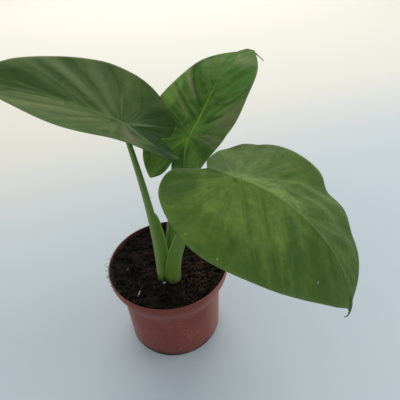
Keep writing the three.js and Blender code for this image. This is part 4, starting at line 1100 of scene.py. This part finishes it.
def half_blade(leaf, side):
    """The grid of one half: flat places, lifts of both faces and the distances to the veins."""
    veins = np.array(vein_list(leaf, side))
    row = (np.linspace(0, 1, BLADE["rows"] + 1) ** BLADE["row_growth"])[None, :]
    columns = (values[:, None] for values in blade_columns(leaf, side))
    vein, share, u, place, row = np.broadcast_arrays(*columns, row)
    x, y = flat_point(leaf, side, u, place, row)

    sides = []
    nudge = 0.02
    for step in (0, 1):
        near = veins[np.minimum(vein + step, len(veins) - 1)]
        ahead = np.minimum(row + nudge, 1)
        nx, ny = flat_point(leaf, side, near[..., 0], near[..., 1], row)
        ax, ay = flat_point(leaf, side, near[..., 0], near[..., 1], ahead)
        bx, by = flat_point(leaf, side, near[..., 0], near[..., 1], ahead - 2 * nudge)
        length = np.hypot(ax - bx, ay - by) + 1e-9
        gap = abs((x - nx) * (ay - by) - (y - ny) * (ax - bx)) / length
        sides.append((gap, nx, ny, (ax - bx) / length, (ay - by) / length))
    (gap, ax, ay, tx, ty), (next_gap, bx, by, _, _) = sides
    spacing = abs((bx - ax) * ty - (by - ay) * tx)
    vein_gap = np.where(vein < 1, 50, np.minimum(gap, next_gap))
    midrib_gap = np.where((u < 0) | (x < 0), np.hypot(x, y), y)
    steps = BLADE["costa_steps"]
    costa_start = np.interp(leaf["costa"][side], veins[:, 1], veins[:, 0])
    ends = np.full(steps, costa_start), np.full(steps, leaf["costa"][side])
    costa_gap = line_gap(x, y, *flat_point(leaf, side, *ends, np.linspace(0, 1, steps)))

    # The puffs between the veins, and the waves and dents of the margin
    full = BLADE["puff_full"]
    full_row = full["fan"] + (full["ahead"] - full["fan"]) * np.clip(u / BLADE["fan_end"], 0, 1)
    inside = 1 - np.clip((row - BLADE["puff_fade"]) / (1 - BLADE["puff_fade"]), 0, 1)
    middle = spacing[:, [BLADE["rows"] // 2]]
    height = leaf["puff"][side] * middle * np.clip((1 - u) / BLADE["flat_tip"], 0, 1)
    out_of_lobe = smoothstep(x, BLADE["lobe_puff_to"], BLADE["lobe_puff_from"])
    height = height * (leaf["lobe_puff"] + (1 - leaf["lobe_puff"]) * out_of_lobe)
    lift = height * np.sin(np.pi * share) ** 2 * np.clip(row / full_row, 0, 1) ** 2 * inside * (vein > 0)
    phase = leaf["wave"]["phase"] + (0 if side == "left" else BLADE["wave_shift"])
    turns = 2 * np.pi * leaf["wave"]["count"] * place / OUTLINE_END
    lift = lift + leaf["wave"]["height"] * np.sin(turns + phase) * row ** 3 * np.clip(place - 1, 0, 1)
    for dent in leaf["dents"]:
        if dent["side"] == side:
            lift = lift - dent["depth"] * bell(place - dent["at"], dent["width"]) * row ** 3

    # The groove over each side vein, and the midrib and main veins that stand out above
    marks = {
        "groove": -bell(vein_gap, RELIEF["groove"]["width"]) * smoothstep(row, 0.02, 0.15) * (1 - row),
        "crest": bell(midrib_gap, RELIEF["crest"]["width"]) * np.clip(1 - u, 0, 1),
        "costa": bell(costa_gap, RELIEF["costa"]["width"]) * smoothstep(row, 0.02, 0.1) * (1 - row),
        "dimple": -bell(np.hypot(x + 1, y), RELIEF["dimple"]["width"]),
    }
    upper = lift + sum(RELIEF[mark]["height"] * shape for mark, shape in marks.items())

    # The ribs of the midrib and the side veins under the blade
    rib_width = 1.3 + 1.5 * np.clip(1 - u, 0, 1)
    ribs = BLADE["midrib_depth"] * np.clip(1 - u, 0.05, 1) * bell(midrib_gap, rib_width)
    ribs = ribs * np.clip(1 + 5 * np.minimum(u, 0), 0, 1)
    side_ribs = bell(vein_gap, 0.6 + 0.6 * (1 - row)) * (1 - row) * smoothstep(row, 0.0, 0.06)
    edge = smoothstep(row, 1, 0.9)
    thickness = BLADE["margin_thickness"] + (BLADE["thickness"] - BLADE["margin_thickness"]) * edge
    lower = lift - thickness - ribs - BLADE["vein_rib_depth"] * side_ribs
    flat = np.stack([x, y if side == "left" else -y, row], -1)
    fan = np.stack([vein + share + (0 if side == "left" else RIGHT_FAN), row, u], -1)
    return flat, upper, lower, np.stack([vein_gap, midrib_gap, costa_gap], -1), fan


def stroke_paint(look, fan):
    """The strokes' colour at each point, and how strongly it shows."""
    right = fan[:, 0] > RIGHT_FAN / 2
    place = fan[:, 0] - RIGHT_FAN * right
    row = fan[:, 1]
    layers = []
    for side, strokes in look["strokes"].items():
        for root, end, width, first, last, tint, strength in strokes:
            off = place - root - (end - root) * row
            weight = strength * bell(off, width) * (right == (side == "right"))
            weight *= smoothstep(row, first - 0.1, first + 0.05) * smoothstep(row, last + 0.12, last - 0.05)
            layers.append((weight, look[tint]))
    margin = look["margin"] * smoothstep(row, 0.965, 0.99)
    margin *= smoothstep(place, look["margin_end"], look["margin_end"] - 1)
    layers.append((margin, look["pale"]))
    paint = np.zeros((len(fan), 3))
    share = np.zeros((len(fan), 1))
    for weight, tint in layers:
        weight = weight[:, None]
        paint = paint * (1 - weight) + np.array(tint) * weight
        share = 1 - (1 - share) * (1 - weight)
    return paint / np.maximum(share, 1e-4), share * (1, 1, 1)


def make_blade(name, leaf):
    """Upper and lower face of the blade with a shared midrib line, and a narrow wall at the margin."""
    halves = {side: half_blade(leaf, side) for side in ("left", "right")}
    count = len(halves["left"][1])
    rows = BLADE["rows"]
    flat, lifts, veins, fans = [], [], [], []
    index = {}

    def at(side, c, r, lower):
        """The point of the grid there. Both halves share the midrib, and the tip and notch are points."""
        if r == 0 or c in (0, count - 1):
            side, r = "left", 0
        key = (side, c, r, lower)
        if key not in index:
            flat_grid, upper, under, vein_grid, fan_grid = halves[side]
            index[key] = len(flat)
            flat.append(flat_grid[c, r])
            lifts.append((under if lower else upper)[c, r])
            veins.append(vein_grid[c, r])
            fans.append(fan_grid[c, r])
        return index[key]

    faces = []
    is_under = []

    def add_face(corners, turned, under):
        corners = tuple(dict.fromkeys(corners))
        if len(corners) > 2:
            faces.append(corners[::-1] if turned else corners)
            is_under.append(under)

    for side in ("left", "right"):
        for lower in (False, True):
            for c in range(count - 1):
                for r in range(rows):
                    steps = (c, r), (c, r + 1), (c + 1, r + 1), (c + 1, r)
                    corners = [at(side, *step, lower) for step in steps]
                    add_face(corners, (side == "right") != lower, int(lower))
        for c in range(count - 1):
            wall = (c, False), (c, True), (c + 1, True), (c + 1, False)
            add_face([at(side, column, rows, lower) for column, lower in wall], side == "right", 0)
    flat = np.array(flat)
    points = place_blade(leaf, flat[:, 0], flat[:, 1], np.array(lifts))
    points = np.clip(points, *(np.array(corner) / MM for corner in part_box(name)))
    look = LEAF_LOOKS[name]
    blade = make_piece(name + "_blade", points, faces, blade_material(name + "_upper", look))
    blade.data.materials.append(blade_material(name + "_under", UNDERSIDE, underside=True))
    blade.data.polygons.foreach_set("material_index", is_under)
    paint, share = stroke_paint(look, np.array(fans))
    stored = {"flat": flat, "vein": veins, "fan": fans, "paint": paint, "paint_share": share}
    for values_name, values in stored.items():
        store(blade, values_name, values)
    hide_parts(name)


# Petioles

def bezier(corners, share):
    a, b, c, d = (np.array(corner, dtype=float) for corner in corners)
    t = share[:, None]
    point = (1 - t) ** 3 * a + 3 * (1 - t) ** 2 * t * b + 3 * (1 - t) * t ** 2 * c + t ** 3 * d
    slope = 3 * (1 - t) ** 2 * (b - a) + 6 * (1 - t) * t * (c - b) + 3 * t ** 2 * (d - c)
    return point, slope / np.linalg.norm(slope, axis=1, keepdims=True)


def make_petiole(name, leaf, material):
    petiole = leaf["petiole"]
    sheath = petiole["sheath"]
    share = np.linspace(0, 1, PETIOLE["stations"] + 1)
    corners = ((*petiole["base"], PETIOLE["base"]), petiole["low"], petiole["high"], leaf["stalk_end"])
    path, tangent = bezier(corners, share)
    aim = np.array([np.cos(np.radians(sheath["heading"])), np.sin(np.radians(sheath["heading"])), 0])
    out = aim - (tangent @ aim)[:, None] * tangent
    out /= np.linalg.norm(out, axis=1, keepdims=True)
    across = np.cross(tangent, out)

    # The core tapers, and the sheath's wing stands out on one side of it
    tuck = 1 - PETIOLE["tuck"] * np.maximum(0, 1 - share / PETIOLE["tuck_end"]) ** 2
    radius_range = petiole["top_radius"] - petiole["base_radius"]
    core = tuck * (petiole["base_radius"] + radius_range * (np.sqrt(share) + share) / 2)
    up_sheath = np.minimum(share / sheath["top"], 1)
    wing_rise = PETIOLE["wing_foot"] + (1 - PETIOLE["wing_foot"]) * up_sheath
    wing = sheath["width"] * tuck * wing_rise * (1 - up_sheath) ** PETIOLE["wing_growth"]
    sides = PETIOLE["sides"]
    angles = np.arange(sides) * 2 * np.pi / sides
    off = np.minimum(angles, 2 * np.pi - angles)
    groove = PETIOLE["groove"]["depth"] * bell(off, PETIOLE["groove"]["width"])
    radius = core[:, None] * (1 + PETIOLE["flattened"] * np.cos(2 * angles))
    radius = (radius + wing[:, None] * (bell(off, PETIOLE["wing_spread"]) - groove))[..., None]
    circle = circle_of(sides)
    points = path[:, None] + radius * (circle[:, [0]] * out[:, None] + circle[:, [1]] * across[:, None])

    # The top end is cut off inside the blade
    up = leaf_axes(leaf)[2]
    above = (points - np.array(leaf["stalk_end"])) @ up + PETIOLE["inside_blade"]
    lean = (tangent @ up)[:, None]
    points = points - (np.maximum(above, 0) / np.maximum(lean, 0.2))[..., None] * tangent[:, None]
    faces = capped_rings(PETIOLE["stations"] + 1, sides)
    piece = make_piece(name + "_petiole", points.reshape(-1, 3), faces, material)
    height = np.concatenate([[0], np.cumsum(np.linalg.norm(np.diff(path, axis=0), axis=1))])
    edge = bell(off - PETIOLE["edge"]["off"], PETIOLE["edge"]["width"]) * np.clip(wing, 0, 1)[:, None]
    store(piece, "stalk", np.stack(np.broadcast_arrays(height[:, None], off, edge), -1))
    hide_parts(name)


def make_leaves():
    for name, leaf in LEAVES.items():
        make_blade(name, leaf)
        make_petiole(name, leaf, petiole_material(name + "_stalk", leaf["petiole"]["painted_lit_back"]))


# Camera, floor and light

def make_camera():
    tilt = np.radians(CAMERA["tilt"])
    roll = np.radians(CAMERA["roll"])
    forward = Vector((0, np.cos(tilt), -np.sin(tilt)))
    level = Vector((1, 0, 0))
    upright = level.cross(forward)
    right = np.cos(roll) * level + np.sin(roll) * upright
    up = np.cos(roll) * upright - np.sin(roll) * level
    camera = new_object("camera", bpy.data.cameras.new("camera"))
    camera.data.lens = CAMERA["lens"]
    camera.data.sensor_width = CAMERA["sensor"]
    turned = Matrix((right, up, -forward)).transposed().to_4x4()
    camera.matrix_world = Matrix.Translation(Vector(CAMERA["place"]) * MM) @ turned
    bpy.context.scene.camera = camera


def make_floor():
    corners = [(x * FLOOR_REACH, y * FLOOR_REACH, 0) for x, y in ((-1, -1), (1, -1), (1, 1), (-1, 1))]
    floor = new_object("floor", new_mesh("floor", corners, [(0, 1, 2, 3)]))
    m = Look("floor_paper")
    place = m.place()
    x, y, _ = m.split(place)
    colour = m.tint((0.455, 0.53, 0.6), (0.475, 0.545, 0.61), m.noise(place, 3.0, 2.0), 0.3, 0.7)
    # Painted light: the floor turns paler and warmer away from the camera, where the window's light falls.
    away = m.math("SUBTRACT", y, m.times(x, 0.35))
    colour = m.tint(colour, (0.65, 0.645, 0.615), away, 0.1, 0.6)
    floor.data.materials.append(m.finish(m.surface(colour, 0.8, None, Specular_IOR_Level=0.3)))


def area_light(name, place, aim, size, power, colour):
    data = bpy.data.lights.new(name, "AREA")
    data.shape = "RECTANGLE"
    data.size, data.size_y = size
    data.energy = power
    data.color = colour
    light = new_object(name, data)
    light.location = place
    light.rotation_mode = "QUATERNION"
    light.rotation_quaternion = (Vector(aim) - Vector(place)).to_track_quat("-Z", "Y")


def make_world():
    """Soft light from all round: warm and bright behind the plant, bluish and dimmer in front of it."""
    m = Look("studio", world=True)
    away = m.split(m.node("TexCoord", {}).outputs["Generated"])[1]
    share = m.node("MapRange", {"Value": away, "From Min": -0.6, "From Max": 0.7}).outputs[0]
    colour = m.mix(share, (0.64, 0.68, 0.69), (0.85, 0.83, 0.76))
    bpy.context.scene.world = m.finish(m.node("Background", {"Color": colour}).outputs[0])


def make_light():
    make_world()
    for name, light in LIGHTS.items():
        area_light(name, **light)


# The scene

make_camera()
make_floor()
make_light()
make_pot()
make_soil()
dress_soil()
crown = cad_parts["crown"]
crown.data.materials.clear()
crown.data.materials.append(crown_material())
make_leaves()
bpy.context.scene.view_settings.view_transform = "Standard"
